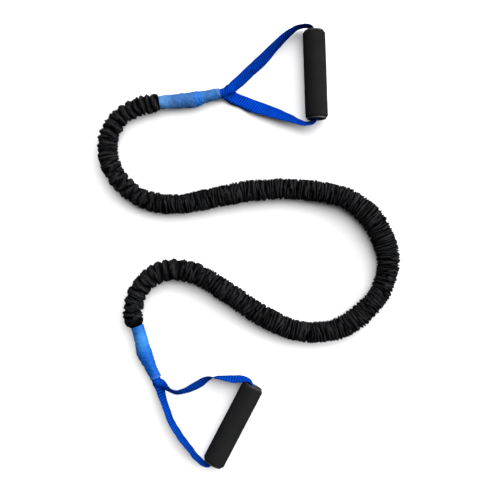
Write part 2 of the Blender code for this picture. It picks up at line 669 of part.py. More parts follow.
def build_grip(end, group, foam, plastic):
    """Foam roll with rounded ends, lying on one of its flats, and its core with collars."""
    seat = grip_seat(end.grip)
    outer = GRIP_DIAMETER / 2
    core_half = GRIP_LENGTH / 2
    inside = core_half - COLLAR_LENGTH
    half = inside - GAP
    corner = [(math.sin(a), math.cos(a)) for a in np.linspace(0.0, math.pi / 2, 4)]
    shoulder = [(outer - FOAM_END_ROUND * (1 - s), half - FOAM_END_ROUND * (1 - c))
                for s, c in corner]
    profile = shoulder + [(r, -h) for r, h in reversed(shoulder)]
    profile += [(FOAM_BORE_RADIUS, -half), (FOAM_BORE_RADIUS, half)]
    turned(end.name + "_grip_foam", profile, GRIP_SIDES, seat, group, foam, closed=True)
    bore = CORE_BORE / 2
    first = [(bore, inside), (bore + MOUTH_FLARE, core_half), (COLLAR_RADIUS, core_half),
             (COLLAR_RADIUS, inside), (CORE_RADIUS, inside)]
    profile = first + [(r, -h) for r, h in reversed(first)]
    turned(end.name + "_grip_core", profile, GRIP_SIDES, seat, group, plastic, closed=True)


def build():
    """The whole object."""
    for old in list(bpy.data.objects):
        bpy.data.objects.remove(old)
    group = collection(COLLECTION)
    cutters = collection("cutters")
    latex = material("latex", (0.03, 0.10, 0.36), 0.45)
    cloth = material("sleeve_cloth", (0.008, 0.008, 0.009), 0.85)
    cuff = material("cuff_rubber", (0.08, 0.28, 0.70), 0.40)
    webbing = material("webbing", (0.0, 0.03, 0.50), 0.80)
    thread = material("binding_thread", (0.02, 0.02, 0.03), 0.80)
    foam = material("grip_foam", (0.017, 0.017, 0.018), 0.90)
    plastic = material("core_plastic", (0.05, 0.05, 0.055), 0.45)
    ball = material("plug_plastic", (0.60, 0.60, 0.58), 0.50)

    route = Route()
    upper = End("upper", route, UPPER_CUFF_LENGTH, UPPER_PLAIN_TUBE, UPPER_GRIP,
                UPPER_LOOP, False)
    lower = End("lower", route, LOWER_CUFF_LENGTH, LOWER_PLAIN_TUBE, LOWER_GRIP,
                LOWER_LOOP, True)
    build_tube((upper, lower), route, group, cutters, latex)
    pleats = build_sleeve((upper, lower), route, group, cutters, cloth)
    sleeve_length = route.sleeve_end - route.sleeve_start
    print(f"sleeve {sleeve_length:.4f} m, {pleats} pleats")
    for end in (upper, lower):
        build_cuff(end, group, cutters, cuff)
        build_plug(end, group, ball)
        build_binding(end.name + "_tail_binding", end, end.tail_binding,
                      TAIL_BINDING_LENGTH, TAIL_RADIUS, group, thread)
        inset = end.cuff_length - SLEEVE_BINDING_INSET - SLEEVE_BINDING_LENGTH
        build_binding(end.name + "_sleeve_binding", end, inset,
                      SLEEVE_BINDING_LENGTH, HEM_RADIUS, group, thread)
        build_tails(end, group, webbing)
        length = build_loop(end, group, webbing)
        hinge = ", ".join(f"{value:.5f}" for value in end.hinge())
        axis = ", ".join(f"{value:.5f}" for value in end.outward(0.0).cross(UP).normalized())
        print(f"{end.name} webbing loop {length:.4f} m, hinge at {hinge}, axis {axis}")
        build_grip(end, group, foam, plastic)


build()
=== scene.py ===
"""Elastic exercise tube with two webbing handles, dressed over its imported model.

Everything is in metres. z = 0 is the floor, +Z is up, and +Y is the top of the picture,
which is taken from straight above. A distance along the tube is counted from the mouth of
the upper cuff, and a distance "back" from the mouth of the cuff that it belongs to.
"""
import logging
import math
from dataclasses import dataclass
from enum import Enum

import bpy
import numpy as np
from numpy.typing import NDArray
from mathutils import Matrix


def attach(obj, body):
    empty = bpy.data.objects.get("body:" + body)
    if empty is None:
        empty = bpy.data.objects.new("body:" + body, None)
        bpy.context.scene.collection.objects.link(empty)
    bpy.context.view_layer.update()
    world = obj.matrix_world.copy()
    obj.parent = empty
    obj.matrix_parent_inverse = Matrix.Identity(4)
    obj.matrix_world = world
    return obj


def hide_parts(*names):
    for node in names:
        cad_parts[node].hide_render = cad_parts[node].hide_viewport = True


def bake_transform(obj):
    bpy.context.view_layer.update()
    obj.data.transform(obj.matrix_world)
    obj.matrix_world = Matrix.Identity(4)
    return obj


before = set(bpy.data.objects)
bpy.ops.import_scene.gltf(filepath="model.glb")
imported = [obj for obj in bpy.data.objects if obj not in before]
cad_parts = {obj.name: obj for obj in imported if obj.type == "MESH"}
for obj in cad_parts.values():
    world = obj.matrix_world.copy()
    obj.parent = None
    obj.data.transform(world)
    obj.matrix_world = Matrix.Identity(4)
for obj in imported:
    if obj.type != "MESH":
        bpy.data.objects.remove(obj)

Array = NDArray[np.float64]
Colour = tuple[float, float, float]
Place = tuple[float, float, float]
Socket = bpy.types.NodeSocket

log = logging.getLogger("exercise_tube")

UP = np.array([0.0, 0.0, 1.0])
GAP = 0.0003                  # between pieces that touch
FLOOR_CLEARANCE = 0.0001      # the lowest that a soft piece is pressed

TUBE_RADIUS = 0.0055
SWELL_RADIUS = 0.00764        # tube stretched over the ball plug
SWELL_REACH = 0.011
WEBBING_THICKNESS = 0.0012
WEBBING_WIDTH = 0.019
NECK_WIDTH = 0.0165
NECK_CURL = 164.0
NECK_START, NECK_REACH = 0.0018, 0.0055    # out of the mouth, where the tails still curl
TAIL_WIDTH = 0.0175
CUFF_WALL = 0.0010
HEM_RADIUS = 0.0068
SLEEVE_BORE_RADIUS = 0.0062
SLEEVE_BINDING_RADIUS = 0.0077
TAIL_BINDING_RADIUS = 0.0079
CUFF_MOUTH_HEIGHT = 0.0096
CUFF_REST_HEIGHT = 0.01074    # axis above the floor where the ball plug sits
NECK_RADIUS = NECK_WIDTH / math.radians(NECK_CURL)

ROUTE: list[tuple[float, float]] = [
    (-0.0123, 0.2115), (-0.0310, 0.2072), (-0.0500, 0.2032), (-0.0730, 0.2002),
    (-0.0960, 0.1983), (-0.1270, 0.1915), (-0.1500, 0.1772), (-0.1636, 0.1550),
    (-0.1658, 0.1290), (-0.1580, 0.1040), (-0.1418, 0.0832), (-0.1203, 0.0680),
    (-0.0955, 0.0600), (-0.0695, 0.0592), (-0.0440, 0.0630), (-0.0180, 0.0683),
    (0.0070, 0.0735), (0.0330, 0.0772), (0.0590, 0.0795), (0.0850, 0.0797),
    (0.1110, 0.0776), (0.1370, 0.0737), (0.1620, 0.0660), (0.1837, 0.0514),
    (0.2005, 0.0315), (0.2122, 0.0082), (0.2178, -0.0172), (0.2150, -0.0430),
    (0.2044, -0.0668), (0.1868, -0.0865), (0.1667, -0.1030), (0.1427, -0.1137),
    (0.1169, -0.1172), (0.0911, -0.1140), (0.0666, -0.1048), (0.0435, -0.0927),
    (0.0217, -0.0784), (0.0002, -0.0635), (-0.0216, -0.0492), (-0.0445, -0.0366),
    (-0.0700, -0.0308), (-0.0955, -0.0350), (-0.1168, -0.0500), (-0.1290, -0.0735),
    (-0.1305, -0.0980), (-0.1258, -0.1090), (-0.1222, -0.1200), (-0.1190, -0.1320),
    (-0.1163, -0.1420), (-0.1125, -0.1530), (-0.1080, -0.1640), (-0.1035, -0.1735),
    (-0.1005, -0.1808),
]

# Distance from the sleeve's upper end, and how thick its gathers lie on its bore there
GATHERS: list[tuple[float, float]] = [
    (0.000, 0.0057), (0.050, 0.0060), (0.080, 0.0065), (0.105, 0.0075), (0.135, 0.0070),
    (0.165, 0.0065), (0.200, 0.0066), (0.230, 0.0071), (0.285, 0.0076), (0.315, 0.0085),
    (0.345, 0.0085), (0.375, 0.0075), (0.465, 0.0078), (0.495, 0.0092), (0.525, 0.0101),
    (0.580, 0.0094), (0.615, 0.0078), (0.645, 0.0081), (0.675, 0.0092), (0.710, 0.0080),
    (0.765, 0.0077), (0.795, 0.0083), (0.885, 0.0080), (0.925, 0.0085), (0.975, 0.0078),
    (1.005, 0.0067), (1.060, 0.0066),
]

# Stations along each webbing loop: x, y, height of the webbing's middle, roll of its width
# (left edge up) and curl across its width (edges up), in metres and degrees
UPPER_LOOP: list[tuple[float, ...]] = [
    (-0.0024, 0.2131, 0.0150, 32, -125), (0.0030, 0.2154, 0.0138, 50, -75),
    (0.0085, 0.2222, 0.0112, 53, -20), (0.0175, 0.2311, 0.0088, 50, 0),
    (0.0290, 0.2420, 0.0082, 50, 0), (0.0388, 0.2512, 0.0080, 48, 0),
    (0.0505, 0.2627, 0.0083, 52, 0), (0.0617, 0.2746, 0.0090, 60, 0),
    (0.0704, 0.2834, 0.0095, 64, 0), (0.0794, 0.2916, 0.0101, 70, 0),
    (0.0858, 0.2965, 0.0107, 76, 0), (0.0921, 0.3005, 0.0117, 83, 0),
    (0.0996, 0.3029, 0.0131, 89, 0), (0.1080, 0.3025, 0.0147, 90, 0),
    (0.1136, 0.3000, 0.0153, 90, 0), (0.1164, 0.2950, 0.0154, 90, 0),
    (0.1166, 0.2850, 0.0154, 90, 0), (0.1183, 0.2356, 0.0154, 90, 0),
    (0.1198, 0.1880, 0.0154, 90, 0), (0.1200, 0.1790, 0.0154, 88, 0),
    (0.1188, 0.1735, 0.0150, 80, 0), (0.1147, 0.1706, 0.0142, 68, 0),
    (0.1066, 0.1695, 0.0126, 63, 0), (0.0987, 0.1714, 0.0110, 58, 0),
    (0.0910, 0.1745, 0.0097, 54, 0), (0.0834, 0.1778, 0.0084, 46, 0),
    (0.0756, 0.1808, 0.0075, 40, 0), (0.0680, 0.1837, 0.0067, 34, 0),
    (0.0522, 0.1891, 0.0056, 25, 0), (0.0363, 0.1943, 0.0043, 16, 0),
    (0.0250, 0.1983, 0.0038, 12, 0), (0.0129, 0.2030, 0.0036, 13, 10),
    (0.0054, 0.2064, 0.0034, 14, 50), (-0.0012, 0.2104, 0.0031, 5, 100),
]
LOWER_LOOP: list[tuple[float, ...]] = [
    (-0.0925, -0.1897, 0.0138, 34, -85), (-0.0862, -0.1943, 0.0122, 58, -30),
    (-0.0792, -0.1981, 0.0105, 63, 0), (-0.0712, -0.2001, 0.0096, 61, 0),
    (-0.0629, -0.1986, 0.0091, 59, 0), (-0.0552, -0.1957, 0.0087, 55, 0),
    (-0.0476, -0.1921, 0.0085, 51, 0), (-0.0407, -0.1879, 0.0084, 50, 0),
    (-0.0339, -0.1831, 0.0087, 55, 0), (-0.0262, -0.1800, 0.0094, 68, 0),
    (-0.0180, -0.1791, 0.0101, 88, 0), (-0.0097, -0.1795, 0.0104, 96, 0),
    (-0.0015, -0.1803, 0.0108, 106, 0), (0.0067, -0.1811, 0.0114, 112, 0),
    (0.0150, -0.1809, 0.0126, 110, 0), (0.0234, -0.1813, 0.0140, 101, 0),
    (0.0302, -0.1848, 0.0151, 91, 0), (0.0325, -0.1915, 0.0154, 90, 0),
    (0.0285, -0.2000, 0.0154, 90, 0), (0.0058, -0.2428, 0.0154, 90, 0),
    (-0.0165, -0.2855, 0.0154, 90, 0), (-0.0205, -0.2925, 0.0154, 90, 0),
    (-0.0233, -0.2962, 0.0154, 90, 0), (-0.0278, -0.2982, 0.0152, 89, 0),
    (-0.0348, -0.2966, 0.0135, 85, 0), (-0.0414, -0.2914, 0.0118, 81, 0),
    (-0.0473, -0.2856, 0.0109, 79, 0), (-0.0525, -0.2795, 0.0104, 78, 0),
    (-0.0626, -0.2667, 0.0099, 75, 0), (-0.0720, -0.2530, 0.0098, 74, 0),
    (-0.0797, -0.2388, 0.0098, 73, 0), (-0.0854, -0.2240, 0.0097, 72, 0),
    (-0.0898, -0.2113, 0.0097, 71, 0), (-0.0924, -0.2040, 0.0094, 67, 5),
    (-0.0945, -0.1980, 0.0085, 60, 25), (-0.0962, -0.1930, 0.0068, 42, 55),
    (-0.0980, -0.1878, 0.0048, 18, 105),
]


class Body(Enum):
    """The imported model's moving bodies."""

    TUBE = "tube"
    UPPER_STRAP = "upper_strap"
    UPPER_GRIP = "upper_grip"
    LOWER_STRAP = "lower_strap"
    LOWER_GRIP = "lower_grip"


def smooth_rows(rows: list[tuple[float, ...]], steps: int = 24) -> Array:
    """Close rows on the smooth curve through given rows, which start with a place.

    Each span is a cubic whose ends have the slopes of the parabola through their two
    neighbours, so that unevenly spaced points give no overshoot.

    Args:
        rows: the rows that the curve goes through.
        steps: rows per span.

    Returns:
        An array with one row for each close point.
    """
    given = np.array(rows, float)
    size = 3 if given.shape[1] > 2 else 2
    spacing = np.linalg.norm(np.diff(given[:, :size], axis=0), axis=1)[:, None]
    slope = np.diff(given, axis=0) / spacing
    before, after = spacing[:-1], spacing[1:]
    inner = (slope[:-1] * after + slope[1:] * before) / (before + after)
    slope = np.vstack([slope[:1], inner, slope[-1:]])
    t = np.linspace(0.0, 1.0, steps, endpoint=False)[None, :, None]
    rise = t * t * (3.0 - 2.0 * t)
    reach = spacing[:, None]
    spans = given[:-1, None] * (1.0 - rise) + given[1:, None] * rise
    spans = spans + slope[:-1, None] * reach * t * (1.0 - t) ** 2
    spans = spans + slope[1:, None] * reach * t * t * (t - 1.0)
    return np.vstack([spans.reshape(-1, given.shape[1]), given[-1:]])


def travelled(points: Array) -> Array:
    """Distance from the first point to each point along them."""
    steps = np.linalg.norm(np.diff(points, axis=0), axis=1)
    return np.concatenate([[0.0], np.cumsum(steps)])


def unit(vectors: Array) -> Array:
    """Vectors of length 1 with the same directions."""
    return vectors / np.linalg.norm(vectors, axis=-1, keepdims=True)


def eased(values: Array, count: int) -> Array:
    """Values averaged over a bell-shaped window of that many samples, ends held.

    Args:
        values: the values.
        count: samples in the window, an odd number.

    Returns:
        The averages, as many as the values.
    """
    window = np.hanning(count + 2)[1:-1]
    padded = np.pad(values, count // 2, mode="edge")
    return np.convolve(padded, window / window.sum(), mode="valid")


def even_angles(count: int) -> Array:
    """Angles of that many columns round a line."""
    return np.linspace(0.0, 2 * math.pi, count, endpoint=False)


def rings(angles: Array, side: Array, over: Array) -> Array:
    """Directions round a line for each row: cos(angle) * side + sin(angle) * over."""
    return np.cos(angles)[None, :, None] * side[:, None] \
        + np.sin(angles)[None, :, None] * over[:, None]


def smooth_step(value: Array, low: float, high: float) -> Array:
    """0 below low, 1 above high, and a smooth rise between them."""
    share = np.clip((value - low) / (high - low), 0.0, 1.0)
    return share * share * (3.0 - 2.0 * share)


def wander(seed: int, count: int, reach: float) -> Array:
    """Random values that change smoothly over about that many samples, of size about 1.

    Args:
        seed: start of the random numbers.
        count: number of values.
        reach: samples over which they change.

    Returns:
        The values.
    """
    width = max(3, int(reach)) | 1
    values = np.random.default_rng(seed).normal(size=count + width - 1)
    window = np.hanning(width + 2)[1:-1]
    made = np.convolve(values, window, mode="valid")
    return made / np.sqrt((window ** 2).sum())


def surface_wander(seed: int, rows: int, angles: Array, reach: float, waves: int) -> Array:
    """Random relief on a tube, of size about 1.

    It is a sum of the first waves round the tube, each with a strength that wanders
    along it: strength(row) * cos(k * angle + start).

    Args:
        seed: start of the random numbers.
        rows: number of rows along the tube.
        angles: angle of each column.
        reach: rows over which the relief changes.
        waves: highest number of waves round the tube.

    Returns:
        An array (rows, columns).
    """
    total = np.zeros((rows, len(angles)))
    for k in range(1, waves + 1):
        rise = wander(seed + 2 * k, rows, reach)[:, None]
        turn = wander(seed + 2 * k + 1, rows, reach)[:, None]
        total += rise * np.cos(k * angles)[None] + turn * np.sin(k * angles)[None]
    return total / math.sqrt(waves)


def put_mesh(name: str, points: Array, faces: NDArray[np.int64]) -> bpy.types.Object:
    """Object at the origin with the given vertices and four-sided faces.

    Faces are turned outwards: if the volume that they enclose comes out negative, their
    order is reversed.

    Args:
        name: the piece's name.
        points: vertices as rows.
        faces: four vertex numbers for each face.

    Returns:
        The new object, smooth shaded.
    """
    corners = points[faces]
    first = np.cross(corners[:, 1] - corners[:, 0], corners[:, 2] - corners[:, 0])
    second = np.cross(corners[:, 2] - corners[:, 0], corners[:, 3] - corners[:, 0])
    if ((first + second) * corners[:, 0]).sum() < 0.0:
        faces = faces[:, ::-1]
    mesh = bpy.data.meshes.new(name)
    mesh.vertices.add(len(points))
    mesh.vertices.foreach_set("co", points.astype(np.float32).ravel())
    mesh.loops.add(faces.size)
    mesh.loops.foreach_set("vertex_index", faces.astype(np.int32).ravel())
    mesh.polygons.add(len(faces))
    mesh.polygons.foreach_set("loop_start", np.arange(0, faces.size, 4, dtype=np.int32))
    mesh.update(calc_edges=True)
    mesh.shade_smooth()
    made = bpy.data.objects.new(name, mesh)
    bpy.context.scene.collection.objects.link(made)
    return made


def add_pattern(piece: bpy.types.Object, columns: int, place: Array, around: Array) -> None:
    """Give a gridded piece its pattern coordinates.

    The map runs along the piece by distance and round it by angle or width, both counted
    in metres and written as tenths of a metre. Where the grid closes on itself, faces keep
    the coordinates of the row or column after the last, not of the first.

    Args:
        piece: an object whose vertices are a grid, row after row.
        columns: number of columns in the grid.
        place: distance along for each row.
        around: distance round for each column, with one more for the closing column.
    """
    mesh = piece.data
    corner = np.zeros(len(mesh.loops), np.int32)
    mesh.loops.foreach_get("vertex_index", corner)
    row, column = np.divmod(corner, columns)
    face_column = column.reshape(-1, 4)
    wraps = (face_column.max(axis=1) - face_column.min(axis=1) > columns // 2)[:, None]
    column = np.where(wraps & (face_column == 0), columns, face_column).ravel()
    layer = mesh.uv_layers.new(name="pattern")
    flat = np.stack([place[np.minimum(row, len(place) - 1)], around[column]], axis=1) * 10.0
    layer.data.foreach_set("uv", flat.astype(np.float32).ravel())


def add_values(piece: bpy.types.Object, name: str, values: Array) -> None:
    """Store one number per vertex on a piece, for its material to read."""
    layer = piece.data.attributes.new(name, "FLOAT", "POINT")
    layer.data.foreach_set("value", values.astype(np.float32).ravel())


def grid_faces(rows: int, columns: int, closed_rows: bool) -> NDArray[np.int64]:
    """Faces of a grid that closes on itself across its columns, and along if asked.

    Args:
        rows: number of rows.
        columns: number of columns.
        closed_rows: whether the last row meets the first.

    Returns:
        Four vertex numbers for each face.
    """
    i = np.arange(rows if closed_rows else rows - 1)[:, None]
    j = np.arange(columns)[None]
    after = (i + 1) % rows
    beside = (j + 1) % columns
    faces = np.stack(
        [i * columns + j, i * columns + beside, after * columns + beside, after * columns + j],
        axis=-1,
    )
    return faces.reshape(-1, 4)


def put_shell(name: str, points: Array) -> bpy.types.Object:
    """Closed piece from a grid of points (rows, columns, 3) that closes on itself both ways."""
    rows, columns = points.shape[:2]
    return put_mesh(name, points.reshape(-1, 3), grid_faces(rows, columns, closed_rows=True))


def rounded_outline(corners: list[tuple[float, float, float]], longest: float) -> Array:
    """Closed outline through corners (x, y, rounding), with points along its sides.

    A corner is cut off at its rounding's distance along both sides, and the curve there is
    corner + (1 - t) ** 2 * back + t ** 2 * forth, with t from 0 to 1.

    Args:
        corners: the corners in order.
        longest: greatest distance between two points on a side.

    Returns:
        The outline's points as rows.
    """
    given = np.array(corners)
    point, size = given[:, :2], given[:, 2:]
    back = unit(np.roll(point, 1, axis=0) - point) * size
    forth = unit(np.roll(point, -1, axis=0) - point) * size
    t = np.linspace(0.0, 1.0, 6)[None, :, None]
    curve = point[:, None] + back[:, None] * (1.0 - t) ** 2 + forth[:, None] * t ** 2
    closed = curve.reshape(-1, 2)
    closed = np.vstack([closed, closed[:1]])
    along = travelled(closed)
    place = np.concatenate([along[:-1], np.arange(0.0, along[-1], longest)])
    place = np.unique(np.round(place, 5))
    return np.stack([np.interp(place, along, c) for c in closed.T], axis=1)


@dataclass(frozen=True)
class Centreline:
    """The tube's middle line from one cuff's mouth to the other, in steps of 1 mm."""

    distance: Array
    points: Array

    @property
    def length(self) -> float:
        """Distance from mouth to mouth."""
        return float(self.distance[-1])

    def at(self, distance: Array) -> tuple[Array, Array, Array, Array]:
        """Places and directions at given distances; past an end the line runs on straight.

        Args:
            distance: distances from the upper mouth.

        Returns:
            Places, directions of travel, directions to the left, and directions over.
        """
        held = np.clip(distance, self.distance[0] + 0.001, self.distance[-1] - 0.001)
        place = np.stack([np.interp(held, self.distance, c) for c in self.points.T], axis=-1)
        slope = np.gradient(self.points, self.distance, axis=0)
        travel = np.stack([np.interp(held, self.distance, c) for c in slope.T], axis=-1)
        travel = unit(travel)
        side = unit(np.cross(UP, travel))
        over = np.cross(travel, side)
        return place + travel * (distance - held)[:, None], travel, side, over


def lay_centreline(ends: tuple["CuffEnd", "CuffEnd"]) -> Centreline:
    """The middle line with its heights.

    Seen from above it is the smooth curve through the route's points. Its height is the
    radius of what lies on the floor there, so that the sleeve's ridges touch the floor.

    Args:
        ends: the upper and the lower end of the tube.

    Returns:
        The middle line.
    """
    upper, lower = ends
    plan = smooth_rows(ROUTE)
    along = travelled(plan)
    length = along[-1]
    distance = np.arange(0.0, length, 0.001)
    start, end = upper.cuff_length, length - lower.cuff_length
    place, thick = np.array(GATHERS).T
    knots = np.concatenate([
        [0.0, upper.ball], start + place / place[-1] * (end - start),
        [length - lower.ball, length],
    ])
    heights = np.concatenate([
        [CUFF_MOUTH_HEIGHT, CUFF_REST_HEIGHT], SLEEVE_BORE_RADIUS + thick,
        [CUFF_REST_HEIGHT, CUFF_MOUTH_HEIGHT],
    ])
    height = eased(np.interp(distance, knots, heights), 31)
    x = np.interp(distance, along, plan[:, 0])
    y = np.interp(distance, along, plan[:, 1])
    return Centreline(distance, np.stack([x, y, height], axis=1))


@dataclass(frozen=True)
class CuffEnd:
    """One end of the tube, where distances are counted back from the cuff's mouth."""

    name: str
    strap: Body
    grip: Body
    cuff_length: float
    ball: float
    hem_start: float
    tail_end: float
    loop: list[tuple[float, ...]]
    reverse: bool

    def frames(self, line: Centreline, back: Array) -> tuple[Array, Array, Array, Array]:
        """Places on the cuff's axis, directions out of its mouth, across, and over.

        Args:
            line: the tube's middle line.
            back: distances back from the mouth.

        Returns:
            Places, outward directions, sideways directions, and directions over.
        """
        distance = line.length - back if self.reverse else back
        place, travel, _side, over = line.at(distance)
        outward = travel if self.reverse else -travel
        return place, outward, unit(np.cross(UP, outward)), over

    def tail_radius(self, back: Array) -> Array:
        """Radius of the middle of the webbing's tails.

        The tube's radius grows over the ball by a squared cosine of the distance from its
        middle, and between mouth and tube end the radius changes evenly to the neck's.

        Args:
            back: distances back from the mouth.

        Returns:
            The radius at each distance.
        """
        reach = np.clip(np.abs(back - self.ball) / SWELL_REACH, 0.0, 1.0)
        tube = TUBE_RADIUS + (SWELL_RADIUS - TUBE_RADIUS) * np.cos(reach * math.pi / 2) ** 2
        radius = tube + GAP + WEBBING_THICKNESS / 2
        neck = np.clip(back / (self.ball - SWELL_REACH), 0.0, 1.0)
        return NECK_RADIUS + (radius - NECK_RADIUS) * neck


class Sheet:
    """Short way to write a node tree."""

    def __init__(self, tree: bpy.types.NodeTree) -> None:
        """Keep the tree to write in."""
        self.tree = tree

    def feed(self, socket: Socket, value: object) -> None:
        """Link another node's socket to an input, or give the input a value.

        Args:
            socket: the input.
            value: the other socket, or the value.
        """
        if isinstance(value, Socket):
            self.tree.links.new(value, socket)
        else:
            socket.default_value = value

    def add(self, kind: str, **settings: object) -> bpy.types.Node:
        """New node of a kind, with its settings; a dict named inputs fills its sockets.

        Args:
            kind: the node's type.
            settings: its properties, and what its inputs get.

        Returns:
            The node.
        """
        node = self.tree.nodes.new(kind)
        inputs = settings.pop("inputs", {})
        for key, value in settings.items():
            setattr(node, key, value)
        for key, value in inputs.items():
            self.feed(node.inputs[key], value)
        return node

    def maths(self, operation: str, first: object, second: object = 0.0, third: object = 0.0,
              clamp: bool = False) -> Socket:
        """Result of a sum on sockets or numbers, held between 0 and 1 if asked.

        Args:
            operation: the sum's name.
            first, second, third: what it works on.
            clamp: whether the result is held.

        Returns:
            The result's socket.
        """
        node = self.add("ShaderNodeMath", operation=operation, use_clamp=clamp,
                        inputs={0: first, 1: second, 2: third})
        return node.outputs[0]

    def mix(self, share: object, first: object, second: object, blend: str = "MIX") -> Socket:
        """Colour between two colours, or another blend of them.

        Args:
            share: how much of the second colour.
            first, second: the colours, or their sockets.
            blend: the kind of blend.

        Returns:
            The colour's socket.
        """
        ends = [(*end, 1.0) if isinstance(end, tuple) else end for end in (first, second)]
        node = self.add("ShaderNodeMix", data_type="RGBA", blend_type=blend,
                        inputs={0: share, 6: ends[0], 7: ends[1]})
        return node.outputs[2]

    def ramp(self, value: Socket, stops: tuple[tuple[float, Colour], ...]) -> Socket:
        """Colour from a ramp of (position, colour) stops.

        Args:
            value: the place on the ramp.
            stops: its stops.

        Returns:
            The colour's socket.
        """
        node = self.add("ShaderNodeValToRGB", inputs={0: value})
        elements = node.color_ramp.elements
        while len(elements) < len(stops):
            elements.new(0.5)
        for element, (position, colour) in zip(elements, stops):
            element.position = position
            element.color = (*colour, 1.0)
        return node.outputs[0]

    def noise(self, vector: Socket, **inputs: object) -> Socket:
        """Noise at a place, with its other inputs named in lower case.

        Args:
            vector: the place.
            inputs: the node's other inputs.

        Returns:
            The noise's socket.
        """
        labelled = {key.capitalize(): value for key, value in inputs.items()}
        node = self.add("ShaderNodeTexNoise", inputs={"Vector": vector, **labelled})
        return node.outputs["Fac"]

    def group(self, tree: bpy.types.NodeTree, **inputs: object) -> bpy.types.NodeOutputs:
        """Outputs of a shared group, with its inputs named in lower case."""
        labelled = {key.capitalize(): value for key, value in inputs.items()}
        return self.add("ShaderNodeGroup", node_tree=tree, inputs=labelled).outputs

    def attribute(self, name: str) -> Socket:
        """The number that the piece's vertices carry under a name."""
        return self.add("ShaderNodeAttribute", attribute_name=name).outputs["Fac"]

    def coordinates(self) -> Socket:
        """Object coordinates, which stay with the piece."""
        return self.add("ShaderNodeTexCoord").outputs["Object"]

    def pattern_map(self) -> Socket:
        """The piece's own pattern map."""
        return self.add("ShaderNodeUVMap", uv_map="pattern").outputs[0]

    def for_camera(self, lit: bpy.types.Node, seen: bpy.types.Node) -> Socket:
        """Shader that the camera sees as one node and the object is lit by as another.

        Args:
            lit: the shader that lights the object.
            seen: the shader that the camera sees.

        Returns:
            The shader's socket.
        """
        path = self.add("ShaderNodeLightPath")
        node = self.add("ShaderNodeMixShader", inputs={
            0: path.outputs["Is Camera Ray"], 1: lit.outputs[0], 2: seen.outputs[0]})
        return node.outputs[0]


def new_group(name: str, inputs: dict[str, float], outputs: tuple[str, ...]) -> Sheet:
    """Empty shader node group.

    Args:
        name: the group's name.
        inputs: its numbers and their first values, which come after a Vector.
        outputs: names of its results.

    Returns:
        The sheet that writes in it.
    """
    tree = bpy.data.node_groups.new(name, "ShaderNodeTree")
    tree.interface.new_socket("Vector", in_out="INPUT", socket_type="NodeSocketVector")
    for label, value in inputs.items():
        socket = tree.interface.new_socket(label, in_out="INPUT", socket_type="NodeSocketFloat")
        socket.default_value = value
    for label in outputs:
        tree.interface.new_socket(label, in_out="OUTPUT", socket_type="NodeSocketFloat")
    return Sheet(tree)


def weave_group() -> bpy.types.NodeTree:
    """Group for woven threads: ribs across the pattern, crossed by finer threads along it.

    Height = 0.5 sin(ribs) + 0.5 + 0.25 sin(threads) + 0.25, where a little noise bends the
    ribs. Mask is the ribs' part alone.

    Returns:
        The group.
    """
    sheet = new_group("woven_threads", {"Ribs": 80.0, "Threads": 60.0, "Bend": 0.3},
                      ("Height", "Mask"))
    given = sheet.add("NodeGroupInput").outputs
    noise = sheet.noise(given["Vector"], scale=18.0, detail=3.0)
    bend = sheet.maths("MULTIPLY", noise, given["Bend"])
    parts = sheet.add("ShaderNodeSeparateXYZ", inputs={0: given["Vector"]}).outputs
    ribs = sheet.maths("MULTIPLY", parts[0], given["Ribs"])
    ribs = sheet.maths("ADD", ribs, sheet.maths("MULTIPLY", bend, 6.0))
    threads = sheet.maths("MULTIPLY", parts[1], given["Threads"])
    rib_wave = sheet.maths("MULTIPLY_ADD", sheet.maths("SINE", ribs), 0.5, 0.5)
    thread_wave = sheet.maths("MULTIPLY_ADD", sheet.maths("SINE", threads), 0.25, 0.25)
    height = sheet.maths("ADD", rib_wave, thread_wave)
    sheet.add("NodeGroupOutput", inputs={"Height": height, "Mask": rib_wave})
    return sheet.tree


def mottle_group() -> bpy.types.NodeTree:
    """Group for cloudy patches, sharpened round their middle value, and a fine grain.

    Returns:
        The group.
    """
    sheet = new_group("cloudy_patches", {"Scale": 100.0, "Contrast": 2.0},
                      ("Patches", "Grain"))
    given = sheet.add("NodeGroupInput").outputs
    broad = sheet.noise(given["Vector"], scale=given["Scale"], detail=3.0, roughness=0.55)
    fine_scale = sheet.maths("MULTIPLY", given["Scale"], 9.0)
    fine = sheet.noise(given["Vector"], scale=fine_scale, detail=4.0)
    centred = sheet.maths("SUBTRACT", broad, 0.5)
    sharp = sheet.maths("MULTIPLY", centred, given["Contrast"])
    patches = sheet.maths("ADD", sharp, 0.5, clamp=True)
    sheet.add("NodeGroupOutput", inputs={"Patches": patches, "Grain": fine})
    return sheet.tree


class Patterns:
    """The shared node groups, each built once."""

    def __init__(self) -> None:
        """Build the groups."""
        self.weave = weave_group()
        self.mottle = mottle_group()


